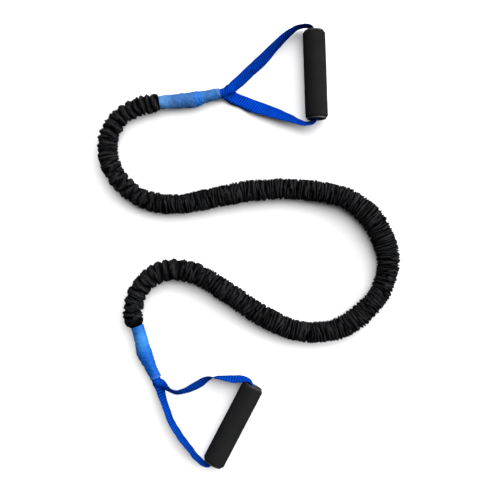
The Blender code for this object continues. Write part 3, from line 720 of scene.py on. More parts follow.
@dataclass(frozen=True)
class Finish:
    """A material with a Principled shader and its own pattern.

    Args:
        name: the material's name.
        roughness: roughness of the whole surface.
        gloss: strength of its reflections, where plain plastic has 0.5.
        depth: depth of its relief, in metres.
    """

    name: str
    roughness: float = 0.6
    gloss: float = 0.5
    depth: float = 0.0002

    def pattern(self, sheet: Sheet, patterns: Patterns) -> tuple[Socket, Socket]:
        """Colour of the surface and height of its relief, from 0 to about 1."""
        raise NotImplementedError

    def build(self, patterns: Patterns) -> bpy.types.Material:
        """Make the material.

        Args:
            patterns: the shared node groups.

        Returns:
            The material.
        """
        made = bpy.data.materials.new(self.name)
        made.use_nodes = True
        sheet = Sheet(made.node_tree)
        colour, height = self.pattern(sheet, patterns)
        bump = sheet.add("ShaderNodeBump", inputs={
            "Height": height, "Distance": self.depth, "Strength": 1.0})
        shader = made.node_tree.nodes["Principled BSDF"]
        for label, value in (("Base Color", colour), ("Normal", bump.outputs[0]),
                             ("Roughness", self.roughness), ("Specular IOR Level", self.gloss)):
            sheet.feed(shader.inputs[label], value)
        return made


@dataclass(frozen=True)
class SleeveCloth(Finish):
    """Black gathered nylon with fine threads along the tube, with painted shade darkening its
    valleys and painted highlight on its ridges.
    """

    name: str = "sleeve_cloth"
    roughness: float = 0.62
    gloss: float = 0.005
    depth: float = 0.00022
    # ridge is the cloth's colour on the ridges, with painted highlight; valley is painted shade,
    # nearly black
    ridge: Colour = (0.0215, 0.0219, 0.0230)
    valley: Colour = (0.0002, 0.0002, 0.0003)
    cool: Colour = (0.75, 0.78, 0.92)
    warm: Colour = (1.18, 1.15, 1.06)

    def crinkle(self, sheet: Sheet, vector: Socket, stretch: Place, sharpness: float) -> Socket:
        """Thin crests across the tube: 1 - sharpness * |noise - 0.5|, not below 0.

        Args:
            sheet: the material's node sheet.
            vector: the pattern map.
            stretch: how often the noise changes along each axis.
            sharpness: how thin the crests are.

        Returns:
            The crests' socket.
        """
        placed = sheet.add("ShaderNodeMapping", inputs={"Vector": vector, "Scale": stretch})
        noise = sheet.noise(placed.outputs[0], scale=1.0, detail=1.5, distortion=0.35)
        off = sheet.maths("ABSOLUTE", sheet.maths("SUBTRACT", noise, 0.5))
        return sheet.maths("SUBTRACT", 1.0, sheet.maths("MULTIPLY", off, sharpness), clamp=True)

    def pattern(self, sheet: Sheet, patterns: Patterns) -> tuple[Socket, Socket]:
        """Ridges with painted highlight in thin crests and painted shade in the valleys, tinted in
        patches.

        Args:
            sheet: the material's node sheet.
            patterns: the shared node groups.

        Returns:
            Colour and height.
        """
        vector = sheet.pattern_map()
        height = sheet.maths("POWER", sheet.attribute("ridge"), 3.4)
        patches = sheet.group(patterns.mottle, vector=vector, scale=6.0, contrast=2.2)
        crease = self.crinkle(sheet, vector, (19.0, 5.0, 1.0), 6.0)
        fine = self.crinkle(sheet, vector, (29.0, 11.0, 1.0), 5.0)
        crest_bump_and_highlight = sheet.maths("MAXIMUM", crease, sheet.maths("MULTIPLY", fine, 0.8))
        # painted highlight: the thin crests lighten the colour, and they also set the bump
        lit = sheet.maths("MULTIPLY_ADD", crest_bump_and_highlight, 1.15, 0.22)
        # painted shade and highlight: the colour runs from the valleys' painted shade to the
        # ridges' colour by the relief
        colour = sheet.mix(sheet.maths("MULTIPLY", height, lit), self.valley, self.ridge)
        tint = sheet.mix(patches["Patches"], self.cool, self.warm)
        weave = sheet.group(patterns.weave, vector=vector, ribs=260.0, threads=620.0, bend=1.2)
        relief = sheet.maths("MULTIPLY_ADD", crest_bump_and_highlight, 3.0, weave["Height"])
        return sheet.mix(1.0, colour, tint, "MULTIPLY"), relief


@dataclass(frozen=True)
class CuffRubber(Finish):
    """Milky blue latex over the binding: cloudy, with stretched, darker and paler parts; the palest
    parts along it are partly painted highlight.

    Args:
        stops: colours by the share of the way from the mouth to the sleeve, the palest of them
            partly painted highlight.
        pale: colour of the cloudy patches.
    """

    roughness: float = 0.42
    gloss: float = 0.06
    depth: float = 0.00025
    stops: tuple[tuple[float, Colour], ...] = ()
    pale: Colour = (0.075, 0.22, 0.50)

    def pattern(self, sheet: Sheet, patterns: Patterns) -> tuple[Socket, Socket]:
        """The stops' colours, shifted along in clouds, with smaller pale patches.

        Args:
            sheet: the material's node sheet.
            patterns: the shared node groups.

        Returns:
            Colour and height.
        """
        vector = sheet.coordinates()
        cloud = sheet.group(patterns.mottle, vector=vector, scale=85.0, contrast=2.6)
        shifted = sheet.maths("MULTIPLY", sheet.maths("SUBTRACT", cloud["Patches"], 0.5), 0.10)
        colour = sheet.ramp(sheet.maths("ADD", sheet.attribute("along"), shifted), self.stops)
        small = sheet.group(patterns.mottle, vector=vector, scale=210.0, contrast=3.0)
        share = sheet.maths("MULTIPLY", small["Patches"], 0.34)
        grain = sheet.maths("MULTIPLY", small["Grain"], 0.5)
        return sheet.mix(share, colour, self.pale), sheet.maths("ADD", small["Patches"], grain)


@dataclass(frozen=True)
class Webbing(Finish):
    """Royal blue woven strap with ribs across, its edges darkened with painted shade.

    Args:
        slant: angle of the ribs from square across, in degrees.
        ribs: waves of the ribs along a tenth of a metre, in radians.
        bend: how unevenly they run.
        contrast: how much the weave changes the colour.
        level: share of the light colour at the weave's middle height, before the patches.
    """

    roughness: float = 0.72
    gloss: float = 0.005
    depth: float = 0.00030
    light: Colour = (0.0005, 0.055, 0.48)
    dark: Colour = (0.0001, 0.006, 0.085)
    slant: float = 14.0
    ribs: float = 190.0
    bend: float = 0.65
    contrast: float = 1.05
    level: float = 0.53

    def pattern(self, sheet: Sheet, patterns: Patterns) -> tuple[Socket, Socket]:
        """Share of light = 0.25 patches + contrast (height - 0.75) + level - edge - crease, where
        the edge and crease terms are painted shade.

        Args:
            sheet: the material's node sheet.
            patterns: the shared node groups.

        Returns:
            Colour and height.
        """
        vector = sheet.pattern_map()
        slanted = sheet.add("ShaderNodeMapping", inputs={
            "Vector": vector, "Rotation": (0.0, 0.0, math.radians(self.slant))})
        weave = sheet.group(patterns.weave, vector=slanted.outputs[0], ribs=self.ribs,
                            threads=225.0, bend=self.bend)
        cloud = sheet.group(patterns.mottle, vector=vector, scale=7.0, contrast=2.2)
        # painted shade: the colour darkens towards the woven edges
        painted_edge_shade = sheet.maths("MULTIPLY", sheet.maths("POWER", sheet.attribute("edge"), 9.0), 0.40)
        share = sheet.maths("MULTIPLY_ADD", cloud["Patches"], 0.25,
                            self.level - 0.75 * self.contrast)
        woven = sheet.maths("MULTIPLY", weave["Height"], self.contrast)
        share = sheet.maths("SUBTRACT", sheet.maths("ADD", share, woven), painted_edge_shade)
        # painted shade of the folds, from the crease values
        share = sheet.maths("SUBTRACT", share, sheet.attribute("crease"), clamp=True)
        return sheet.mix(share, self.dark, self.light), weave["Height"]


@dataclass(frozen=True)
class GripFoam(Finish):
    """Charcoal closed-cell foam: fine pores and faint scuffs."""

    name: str = "grip_foam"
    roughness: float = 0.88
    gloss: float = 0.02
    depth: float = 0.00012
    colour: Colour = (0.0088, 0.0089, 0.0093)
    scuffed: Colour = (0.0122, 0.0124, 0.0131)

    def pattern(self, sheet: Sheet, patterns: Patterns) -> tuple[Socket, Socket]:
        """Scuffs in patches, over pores.

        Args:
            sheet: the material's node sheet.
            patterns: the shared node groups.

        Returns:
            Colour and height.
        """
        vector = sheet.coordinates()
        cloud = sheet.group(patterns.mottle, vector=vector, scale=60.0, contrast=1.8)
        pores = sheet.add("ShaderNodeTexVoronoi", inputs={"Vector": vector, "Scale": 1500.0})
        height = sheet.maths("ADD", pores.outputs["Distance"], cloud["Grain"])
        return sheet.mix(cloud["Patches"], self.colour, self.scuffed), height


@dataclass(frozen=True)
class SmoothPlastic(Finish):
    """Moulded or extruded plastic, with faint draw marks and dust.

    Args:
        colour: main colour.
        marked: colour of the marks.
    """

    depth: float = 0.00005
    colour: Colour = (0.03, 0.03, 0.033)
    marked: Colour = (0.05, 0.05, 0.055)

    def pattern(self, sheet: Sheet, patterns: Patterns) -> tuple[Socket, Socket]:
        """Marks in patches, over a fine grain.

        Args:
            sheet: the material's node sheet.
            patterns: the shared node groups.

        Returns:
            Colour and height.
        """
        cloud = sheet.group(patterns.mottle, vector=sheet.coordinates(), scale=140.0,
                            contrast=2.0)
        return sheet.mix(cloud["Patches"], self.colour, self.marked), cloud["Grain"]


@dataclass(frozen=True)
class WoundThread(Finish):
    """Dark thread wound in close turns."""

    name: str = "wound_thread"
    roughness: float = 0.80
    colour: Colour = (0.010, 0.010, 0.014)
    # crest colour: painted highlight on the turns' crests
    crest: Colour = (0.045, 0.045, 0.060)

    def pattern(self, sheet: Sheet, patterns: Patterns) -> tuple[Socket, Socket]:
        """Turns of thread, with painted highlight on their crests.

        Args:
            sheet: the material's node sheet.
            patterns: the shared node groups.

        Returns:
            Colour and height.
        """
        weave = sheet.group(patterns.weave, vector=sheet.coordinates(), ribs=9000.0,
                            threads=6000.0, bend=0.2)
        return sheet.mix(weave["Mask"], self.colour, self.crest), weave["Height"]


# Along the sleeve, from its upper mouth: distance, size of the lobes there from 0 to 1,
# and the pitch of the finer pleats
PLEATS: list[tuple[float, float, float]] = [
    (0.084, 1.0, 0.0052), (0.175, 1.0, 0.0052), (0.190, 0.25, 0.0050), (0.212, 0.25, 0.0050),
    (0.224, 1.0, 0.0052), (0.286, 0.9, 0.0052), (0.306, 0.12, 0.0050), (0.400, 0.10, 0.0050),
    (0.470, 0.05, 0.0054), (0.560, 0.0, 0.0045), (0.680, 0.0, 0.0046), (0.740, 0.10, 0.0054),
    (0.900, 0.10, 0.0057), (0.985, 0.20, 0.0057), (1.035, 0.9, 0.0060), (1.149, 1.0, 0.0058),
]

# Places of the lobes' ridges in the two loose parts, in mm from the upper mouth
LEFT_LOBES: tuple[int, ...] = (
    82, 91, 100, 108, 116, 126, 135, 143, 158, 175, 186, 205, 216, 226, 238, 250, 261, 279, 288,
    298, 306, 999, 1012, 1022, 1035, 1050, 1065, 1079, 1093, 1104, 1119, 1136, 1146,
)
RIGHT_LOBES: tuple[int, ...] = (
    82, 91, 99, 107, 115, 125, 135, 144, 157, 169, 179, 188, 201, 214, 234, 245, 256, 271, 281,
    291, 303, 997, 1009, 1018, 1027, 1039, 1051, 1059, 1067, 1077, 1089, 1101, 1114, 1123, 1132,
    1142,
)


@dataclass(frozen=True)
class PleatWave:
    """One set of pleats along the sleeve, as the phase of a sum of turning waves.

    Each wave turns once per pleat, some of them also a few times round the tube, and
    drifts a little. Where they cancel, the phase of their sum has a point round which it
    turns once: there a ridge splits in two or two ridges run together.

    Args:
        seed: start of the random numbers.
        others: number of waves besides the main one.
        weight: size of each of those, where the main one's is 1.
        detune: how far their pitch differs from the main one's, as a share.
        drift: size of each wave's slow change of phase, in radians.
        reach: distance over which the phase drifts.
        bluntness: power on the relief, below 1 for rounder ridges and narrower valleys.
    """

    seed: int
    others: int
    weight: float
    detune: float
    drift: float
    reach: float
    bluntness: float

    def relief(self, passed: Array, angles: Array, step: float,
               main: Array | None = None) -> Array:
        """The pleats' relief from 0 to 1, (1 - across ** 2) ** bluntness.

        Here across runs from 0 on a ridge to 1 in the valleys beside it, so that a ridge
        is round like a rolled edge and a valley is a sharp crease.

        Args:
            passed: count of pleats at each row.
            angles: angle of each column.
            step: distance between rows.
            main: the main wave, of size about 1, where the count alone doesn't give it.

        Returns:
            An array (rows, columns).
        """
        rows = len(passed)
        random = np.random.default_rng(self.seed)
        window = self.reach / step
        if main is None:
            main = np.exp(2j * math.pi * passed)[:, None]
        total = main * np.exp(1j * self.drift * surface_wander(self.seed, rows, angles, window, 2))
        for k in range(self.others):
            turns = random.integers(-3, 4)
            rate = 1.0 + self.detune * random.uniform(-1.0, 1.0)
            slow = self.drift * wander(self.seed + 100 + k, rows, window)
            phase = 2 * math.pi * passed * rate + slow + random.uniform(0.0, 6.3)
            total = total + self.weight * np.exp(1j * (phase[:, None] + turns * angles[None]))
        across = np.abs(np.angle(total)) / math.pi
        return (1.0 - across ** 2) ** self.bluntness


@dataclass
class GatheredSleeve:
    """Cloth sleeve pushed together into pleats that wander, split and run together.

    Large lobes, where the cloth is loose, carry a finer set of pleats that runs along the
    whole sleeve. The radius is the height of the tube's middle line over the floor, plus a
    share of the pleats' depth, less what the cloth lies below its ridges, plus wrinkles and
    a broad unevenness. Each reach is the distance over which something changes.
    """

    line: Centreline
    ends: tuple[CuffEnd, CuffEnd]
    rows: int = 1900
    columns: int = 50
    inner_rows: int = 90
    lobe_pitch: float = 0.0092
    lobe_depth: float = 0.0046
    fine_depth: float = 0.0036
    fine_depth_on_lobes: float = 0.0016
    wrinkle_pitch: float = 0.0030
    wrinkle_depth: float = 0.0011
    broad_depth: float = 0.00030
    proud: float = 0.16           # share of the pleats' depth outside the middle radius
    crowding: float = 0.42        # how much closer together the columns lie on top
    slide: float = 0.0006         # how far a ridge leans along the tube
    press: float = 0.0012         # height below which the cloth is squeezed on the floor
    hem_gap: float = 0.0002
    hem_rise: tuple[float, float] = (0.0016, 0.0100)   # from each hem to full thickness
    girth: float = 0.086          # way round it on its pattern map
    loose_reach: float = 0.012
    uneven_reach: float = 0.009
    broad_reach: float = 0.022
    lean_reach: float = 0.012
    lobe_unevenness: float = 0.20
    fine_unevenness: float = 0.30
    seed: int = 11

    def ring_angles(self) -> Array:
        """Angles of the columns from the left side over the top, closer together on top."""
        even = even_angles(self.columns)
        return even + self.crowding * np.cos(even)

    def lobe_wave(self, distance: Array, angles: Array) -> Array:
        """Complex wave whose phase is a whole turn at each lobe of the two lists.

        The left and right sides have a wave each, faded into the other round the tube.

        Args:
            distance: distances of the rows.
            angles: angles of the columns.

        Returns:
            The wave, an array (rows, columns).
        """
        sides = []
        for lobes in (LEFT_LOBES, RIGHT_LOBES):
            places = np.array(lobes) / 1000.0
            gaps = np.diff(places)
            count = np.where(gaps > 0.1, np.round(gaps / self.lobe_pitch), 1.0)
            passed = np.interp(distance, places, np.concatenate([[0.0], np.cumsum(count)]))
            sides.append(np.exp(2j * math.pi * passed)[:, None])
        left = np.cos(angles / 2)[None] ** 2
        return sides[0] * left + sides[1] * (1.0 - left)

    def pleats(self, distance: Array, angles: Array) -> tuple[Array, Array, Array, Array]:
        """The pleats of each size along the sleeve.

        Args:
            distance: distances of the rows.
            angles: angles of the columns.

        Returns:
            How loose the cloth is at each row, from 0 to 1, and the relief of the lobes, of
            the fine pleats and of the wrinkles, each an array (rows, columns).
        """
        step = distance[1] - distance[0]
        place, size, pitch = np.array(PLEATS).T
        window = int(self.loose_reach / step) | 1
        loose = eased(np.interp(distance, place, size), window)[:, None]
        fine_passed = np.cumsum(step / np.interp(distance, place, pitch))
        lobe_passed = (distance - distance[0]) / self.lobe_pitch
        lobes = PleatWave(self.seed, others=4, weight=0.30, detune=0.30, drift=0.6, reach=0.014,
                          bluntness=0.66).relief(lobe_passed, angles, step,
                                                 self.lobe_wave(distance, angles))
        fine = PleatWave(self.seed + 1, others=8, weight=0.48, detune=0.34, drift=2.4,
                         reach=0.011, bluntness=0.88).relief(fine_passed, angles, step)
        wrinkles = PleatWave(self.seed + 2, others=9, weight=0.60, detune=0.40, drift=2.0,
                             reach=0.008, bluntness=0.8).relief(
                                 distance / self.wrinkle_pitch, angles, step)
        return loose, lobes, fine, wrinkles

    def surface(self) -> tuple[Array, Array, Array, Array]:
        """The outer surface.

        Returns:
            Points (rows, columns, 3), the distances of the rows, the angles of the
            columns, and the relief from 0 in the valleys to 1 on the ridges.
        """
        upper, lower = self.ends
        line = self.line
        start, end = upper.cuff_length, line.length - lower.cuff_length
        first = upper.hem_start + 0.001
        last = line.length - lower.hem_start - 0.001
        distance = np.linspace(first, last, self.rows)
        angles = self.ring_angles()
        step = distance[1] - distance[0]
        loose, lobes, fine, wrinkles = self.pleats(distance, angles)
        uneven = surface_wander(self.seed + 60, self.rows, angles, self.uneven_reach / step, 5)
        lobe_depth = self.lobe_depth * loose * (1.0 + self.lobe_unevenness * uneven)
        fine_depth = self.fine_depth + (self.fine_depth_on_lobes - self.fine_depth) * loose
        fine_depth = fine_depth * (1.0 + self.fine_unevenness * uneven)
        place, travel, side, over = line.at(distance)
        broad = surface_wander(self.seed + 80, self.rows, angles, self.broad_reach / step, 3)
        depth = lobe_depth + fine_depth
        lowered = lobe_depth * (1.0 - lobes) + fine_depth * (1.0 - fine)
        radius = place[:, 2:3] + self.proud * depth - lowered + self.broad_depth * broad
        radius = radius + self.wrinkle_depth * (wrinkles - 0.5)
        wrinkled = lowered + self.wrinkle_depth * (1.0 - wrinkles)
        relief = 1.0 - wrinkled / (depth + self.wrinkle_depth)
        near, far = self.hem_rise
        tucked = np.clip((distance - start - self.hem_gap) / near, 0.0, 1.0) ** 0.6
        tucked = tucked * np.clip((end - distance - self.hem_gap) / far, 0.0, 1.0) ** 0.5
        tucked = tucked[:, None]
        radius = HEM_RADIUS * (1.0 - tucked) + radius * tucked
        lean = wander(self.seed + 90, self.rows, self.lean_reach / step)[:, None]
        slide = self.slide * lean * relief * tucked
        points = place[:, None] + rings(angles, side, over) * radius[..., None] \
            + travel[:, None] * slide[..., None]
        height = points[..., 2]
        soft = self.press * np.exp((height - self.press) / self.press)
        points[..., 2] = np.where(height < self.press, np.maximum(soft, FLOOR_CLEARANCE), height)
        return points, distance, angles, relief * tucked

    def build(self, patterns: Patterns, tube: bpy.types.Object) -> bpy.types.Object:
        """Args:
            patterns: the shared node groups.
            tube: the elastic tube inside it, which lies where it lies; not used.

        Returns:
            The sleeve.
        """
        outer, distance, angles, relief = self.surface()
        inside = np.linspace(distance[-1], distance[0], self.inner_rows)
        place, _travel, side, over = self.line.at(inside)
        inner = place[:, None] + rings(angles, side, over) * SLEEVE_BORE_RADIUS
        piece = put_shell("sleeve", np.vstack([outer, inner]))
        around = np.linspace(0.0, self.girth, self.columns + 1)
        add_pattern(piece, self.columns, np.concatenate([distance, inside]), around)
        # the relief sets the cloth's painted shade and highlight; the inside, at 0, gets the
        # valleys' painted shade
        add_values(piece, "ridge", np.vstack([relief, np.zeros(inner.shape[:2])]))
        piece.data.materials.append(SleeveCloth().build(patterns))
        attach(piece, Body.TUBE.value)
        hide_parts("gathered_sleeve")
        upper, lower = self.ends
        shown = np.linspace(upper.cuff_length, self.line.length - lower.cuff_length, 150)
        path = self.line.at(shown)[0]
        return piece


@dataclass
class Cuff:
    """Soft cover over one end of the tube: a wall stretched over what is inside it.

    Args:
        profile: outside radius at distances back from the mouth, in mm.
        sag: how far the bulge leans to the left of the way out, in mm.
    """

    line: Centreline
    end: CuffEnd
    finish: CuffRubber
    profile: tuple[tuple[float, float], ...]
    sag: float
    seed: int
    rows: int = 170
    columns: int = 96
    lump_depth: float = 0.00020
    crease_depth: float = 0.00012
    least_wall: float = 0.45      # thinnest place, as a share of the wall
    girth: float = 0.060          # way round it on its pattern map
    tight_place: float = 0.012    # in front of the ball, where the rubber is drawn tight
    tight_reach: float = 0.010
    sag_reach: float = 0.012

    def inner_radius(self, back: Array) -> Array:
        """Radius of the cuff's inside: over the tails, then the binding, then the hem.

        Args:
            back: distances back from the mouth.

        Returns:
            The radius at each distance.
        """
        end = self.end
        tails = end.tail_radius(back) + WEBBING_THICKNESS / 2 + GAP
        behind = TAIL_BINDING_RADIUS + (SLEEVE_BINDING_RADIUS - TAIL_BINDING_RADIUS) \
            * smooth_step(back, end.tail_end, end.hem_start) + GAP
        share = smooth_step(back, end.ball, end.ball + SWELL_REACH)
        return tails * (1.0 - share) + behind * share

    def outer_radius(self, back: Array) -> Array:
        """Radius of the cuff's outside, at least half its wall more than the inside.

        Args:
            back: distances back from the mouth.

        Returns:
            The radius at each distance.
        """
        places, radii = np.array(self.profile).T / 1000.0
        dense = smooth_rows([(place, radius) for place, radius in zip(places, radii)], 12)
        outside = np.interp(back, dense[:, 0], dense[:, 1])
        return np.maximum(outside, self.inner_radius(back) + CUFF_WALL / 2)

    def build(self, patterns: Patterns) -> bpy.types.Object:
        """Make the cuff: outer wall, rounded rims and inner wall as one closed shell.

        Args:
            patterns: the shared node groups.

        Returns:
            The cuff.
        """
        end = self.end
        angles = even_angles(self.columns)
        lip = CUFF_WALL / 2
        back = np.linspace(lip, end.cuff_length - lip, self.rows)
        inner, outer = self.inner_radius(back), self.outer_radius(back)
        turn = np.linspace(0.0, math.pi, 7)[1:-1]
        first = back[0] - lip * np.sin(turn)
        first_radius = (inner[0] + outer[0]) / 2 - (outer[0] - inner[0]) / 2 * np.cos(turn)
        last = back[-1] + lip * np.sin(turn)
        last_radius = (inner[-1] + outer[-1]) / 2 + (outer[-1] - inner[-1]) / 2 * np.cos(turn)
        place = np.concatenate([first, back, last, back[::-1]])
        radius = np.concatenate([first_radius, outer, last_radius, inner[::-1]])
        skin = np.concatenate([np.linspace(0, 1, len(turn)), np.ones(len(back)),
                               np.linspace(1, 0, len(turn)), np.zeros(len(back))])[:, None]
        share = place / end.cuff_length
        lumps = surface_wander(self.seed, len(place), angles, 14, 5)
        creases = surface_wander(self.seed + 30, len(place), angles, 5, 9)
        behind = place - end.ball
        tight = np.exp(-((behind + self.tight_place) / self.tight_reach) ** 2)[:, None]
        grown = radius[:, None] + skin * (
            self.lump_depth * lumps + self.crease_depth * creases * (0.5 + tight))
        lean = self.sag / 1000.0 * np.exp(-(behind / self.sag_reach) ** 2)[:, None]
        grown = grown + skin * lean * np.cos(angles)[None]
        least = self.inner_radius(place)[:, None] + skin * CUFF_WALL * self.least_wall
        grown = np.where(skin > 0.0, np.maximum(grown, least), grown)
        middle, _outward, side, over = end.frames(self.line, place)
        points = middle[:, None] + rings(angles, side, over) * grown[..., None]
        points[..., 2] = np.maximum(points[..., 2], FLOOR_CLEARANCE)
        piece = put_shell(end.name + "_cuff_skin", points)
        around = np.linspace(0.0, self.girth, self.columns + 1)
        add_pattern(piece, self.columns, place, around)
        add_values(piece, "along", np.repeat(share[:, None], self.columns, axis=1))
        piece.data.materials.append(self.finish.build(patterns))
        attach(piece, Body.TUBE.value)
        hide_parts(end.name + "_cuff")
        return piece


@dataclass(frozen=True)
class Fold:
    """A crease across part of the webbing, or an edge that turns over along it, each with painted
    shade; one may be painted shade alone.

    Args:
        near: the point, seen from above, that it lies at or starts from.
        reach: half its length along the strap.
        side: the half of the width that it takes, 1 for the left one, -1 for the right.
        depth: how far a crease stands out of the webbing's face.
        turn: how far a turned edge bends over, in degrees.
        inset: where the turn begins, as a share of the width from the middle.
        shade: painted shade in it, how much darker the cloth is drawn there, from 0 to 1.
    """

    near: tuple[float, float]
    reach: float
    side: int
    depth: float = 0.0
    turn: float = 0.0
    inset: float = 0.32
    shade: float = 0.0


@dataclass
class Strap:
    """Webbing from inside the cuff, through the grip and back, as one strip.

    A cross-section starts in the middle of the width and adds up short steps, whose
    direction turns evenly with the curl and further in a turned edge. It is rolled about
    the direction of travel. Its two faces lie half the thickness each way and come closer
    together at the woven edges.
    """

    line: Centreline
    end: CuffEnd
    finish: bpy.types.Material
    folds: tuple[Fold, ...]
    seed: int
    spans: int = 20
    step: float = 0.0016
    ripple_depth: float = 0.00020
    edge_thinning: float = 0.55   # share of the thickness that the woven edges lose
    fold_start: tuple[float, float] = (-0.05, 0.07)    # round a fold's inset

    def stations(self) -> tuple[Array, Array, Array]:
        """Close stations along the whole strap.

        Returns:
            Rows of x, y, z, roll and curl; directions of travel; and widths.
        """
        end = self.end
        backs = np.concatenate([
            np.linspace(end.tail_end, end.ball + SWELL_REACH, 4)[:-1],
            np.linspace(end.ball + SWELL_REACH, end.ball - SWELL_REACH, 9),
            np.linspace(end.ball - SWELL_REACH, 0.0, 6)[1:],
        ])
        place, _outward, _side, over = end.frames(self.line, backs)
        radius = end.tail_radius(backs)
        neck = np.clip(backs / (end.ball - SWELL_REACH), 0.0, 1.0)
        width = NECK_WIDTH + (TAIL_WIDTH - NECK_WIDTH) * neck
        curl = np.degrees(width / radius)
        level = np.zeros(len(backs))
        top = np.column_stack([place + over * radius[:, None], level, -curl])
        bottom = np.column_stack([place - over * radius[:, None], level, curl])[::-1]
        mouth, outward, _across, rise = (v[0] for v in end.frames(self.line, np.zeros(1)))
        reach = np.array([NECK_START, NECK_REACH])[:, None]
        out = mouth + outward * reach
        near_top = np.column_stack([out + rise * NECK_RADIUS, [0.0, 0.0],
                                    [-NECK_CURL, -NECK_CURL]])
        near_bottom = np.column_stack([out - rise * NECK_RADIUS, [0.0, 0.0],
                                       [NECK_CURL, NECK_CURL]])[::-1]
        rows = np.vstack([top, near_top, np.array(end.loop), near_bottom, bottom])
        dense = smooth_rows([tuple(row) for row in rows], 16)
        along = travelled(dense[:, :3])
        even = np.linspace(0.0, along[-1], int(along[-1] / self.step))
        made = np.stack([np.interp(even, along, c) for c in dense.T], axis=1)
        travel = unit(np.gradient(made[:, :3], axis=0))
        flat = 1.0 - np.clip(np.abs(made[:, 4]) / NECK_CURL, 0.0, 1.0)
        widths = NECK_WIDTH + (WEBBING_WIDTH - NECK_WIDTH) * flat
        return made, travel, widths

    def build(self) -> bpy.types.Object:
        """Make the strap.

        Returns:
            The strap.
        """
        rows, travel, widths = self.stations()
        along = travelled(rows[:, :3])
        side = unit(np.cross(UP, travel))
        over = np.cross(travel, side)
        roll = np.radians(rows[:, 3])[:, None]
        across = np.cos(roll) * side + np.sin(roll) * over
        normal = np.cos(roll) * over - np.sin(roll) * side
        share = np.linspace(-0.5, 0.5, self.spans + 1)[None]
        ripple = wander(self.seed, len(rows), 9)[:, None] * (2 * share) ** 2
        ripple = ripple + 0.6 * wander(self.seed + 5, len(rows), 14)[:, None] * share
        push = self.ripple_depth * ripple
        # crease carries the folds' painted shade to the webbing's material
        crease = np.zeros((len(rows), self.spans + 1))
        lean = np.radians(rows[:, 4])[:, None] * share
        for fold in self.folds:
            away = np.hypot(rows[:, 0] - fold.near[0], rows[:, 1] - fold.near[1])
            away = (along - along[away.argmin()]) / fold.reach
            near = np.exp(-away ** 4 if fold.turn else -away ** 2)[:, None]
            before, after = self.fold_start
            part = smooth_step(share * fold.side, fold.inset + before, fold.inset + after)
            push = push + fold.depth * near * part
            lean = lean + math.radians(fold.turn) * near * part
            crease = np.maximum(crease, fold.shade * near * part)
        between = (lean[:, 1:] + lean[:, :-1]) / 2
        step = widths[:, None] / self.spans
        start = np.zeros((len(rows), 1))
        x = np.hstack([start, np.cumsum(np.cos(between) * step, axis=1)])
        y = np.hstack([start, np.cumsum(np.sin(between) * step, axis=1)])
        middle = self.spans // 2
        x, y = x - x[:, middle:middle + 1], y - y[:, middle:middle + 1]
        half = WEBBING_THICKNESS / 2 * (1.0 - self.edge_thinning * np.abs(2 * share) ** 10)
        faces = []
        for sign, order in ((1.0, 1), (-1.0, -1)):
            raised = sign * half + push
            out_x = x - raised * np.sin(lean)
            out_y = y + raised * np.cos(lean)
            layer = rows[:, None, :3] + across[:, None] * out_x[..., None] \
                + normal[:, None] * out_y[..., None]
            faces.append(layer[:, ::order])
        points = np.concatenate(faces, axis=1)
        points[..., 2] = np.maximum(points[..., 2], FLOOR_CLEARANCE)
        columns = points.shape[1]
        quads = grid_faces(len(points), columns, closed_rows=False)
        i = np.arange(self.spans)
        cap = np.stack([i, i + 1, columns - 2 - i, columns - 1 - i], axis=1)
        quads = np.vstack([quads, cap, cap[:, ::-1] + (len(points) - 1) * columns])
        piece = put_mesh(self.end.name + "_webbing", points.reshape(-1, 3), quads)
        out = share[0] * WEBBING_WIDTH
        around = np.concatenate([out, out[::-1], out[:1]])
        add_pattern(piece, columns, along, around)
        edge = np.abs(2 * share[0])
        edges = np.concatenate([edge, edge[::-1]])[None]
        add_values(piece, "edge", np.repeat(edges, len(points), axis=0))
        # the folds' painted shade, for the webbing's material
        add_values(piece, "crease", np.hstack([crease, crease[:, ::-1]]))
        piece.data.materials.append(self.finish)
        name = self.end.name
        mouth, outward, _side, _over = (v[0] for v in self.end.frames(self.line, np.zeros(1)))
        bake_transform(piece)
        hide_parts(name + "_webbing_loop", name + "_top_tail", name + "_bottom_tail")
        return piece


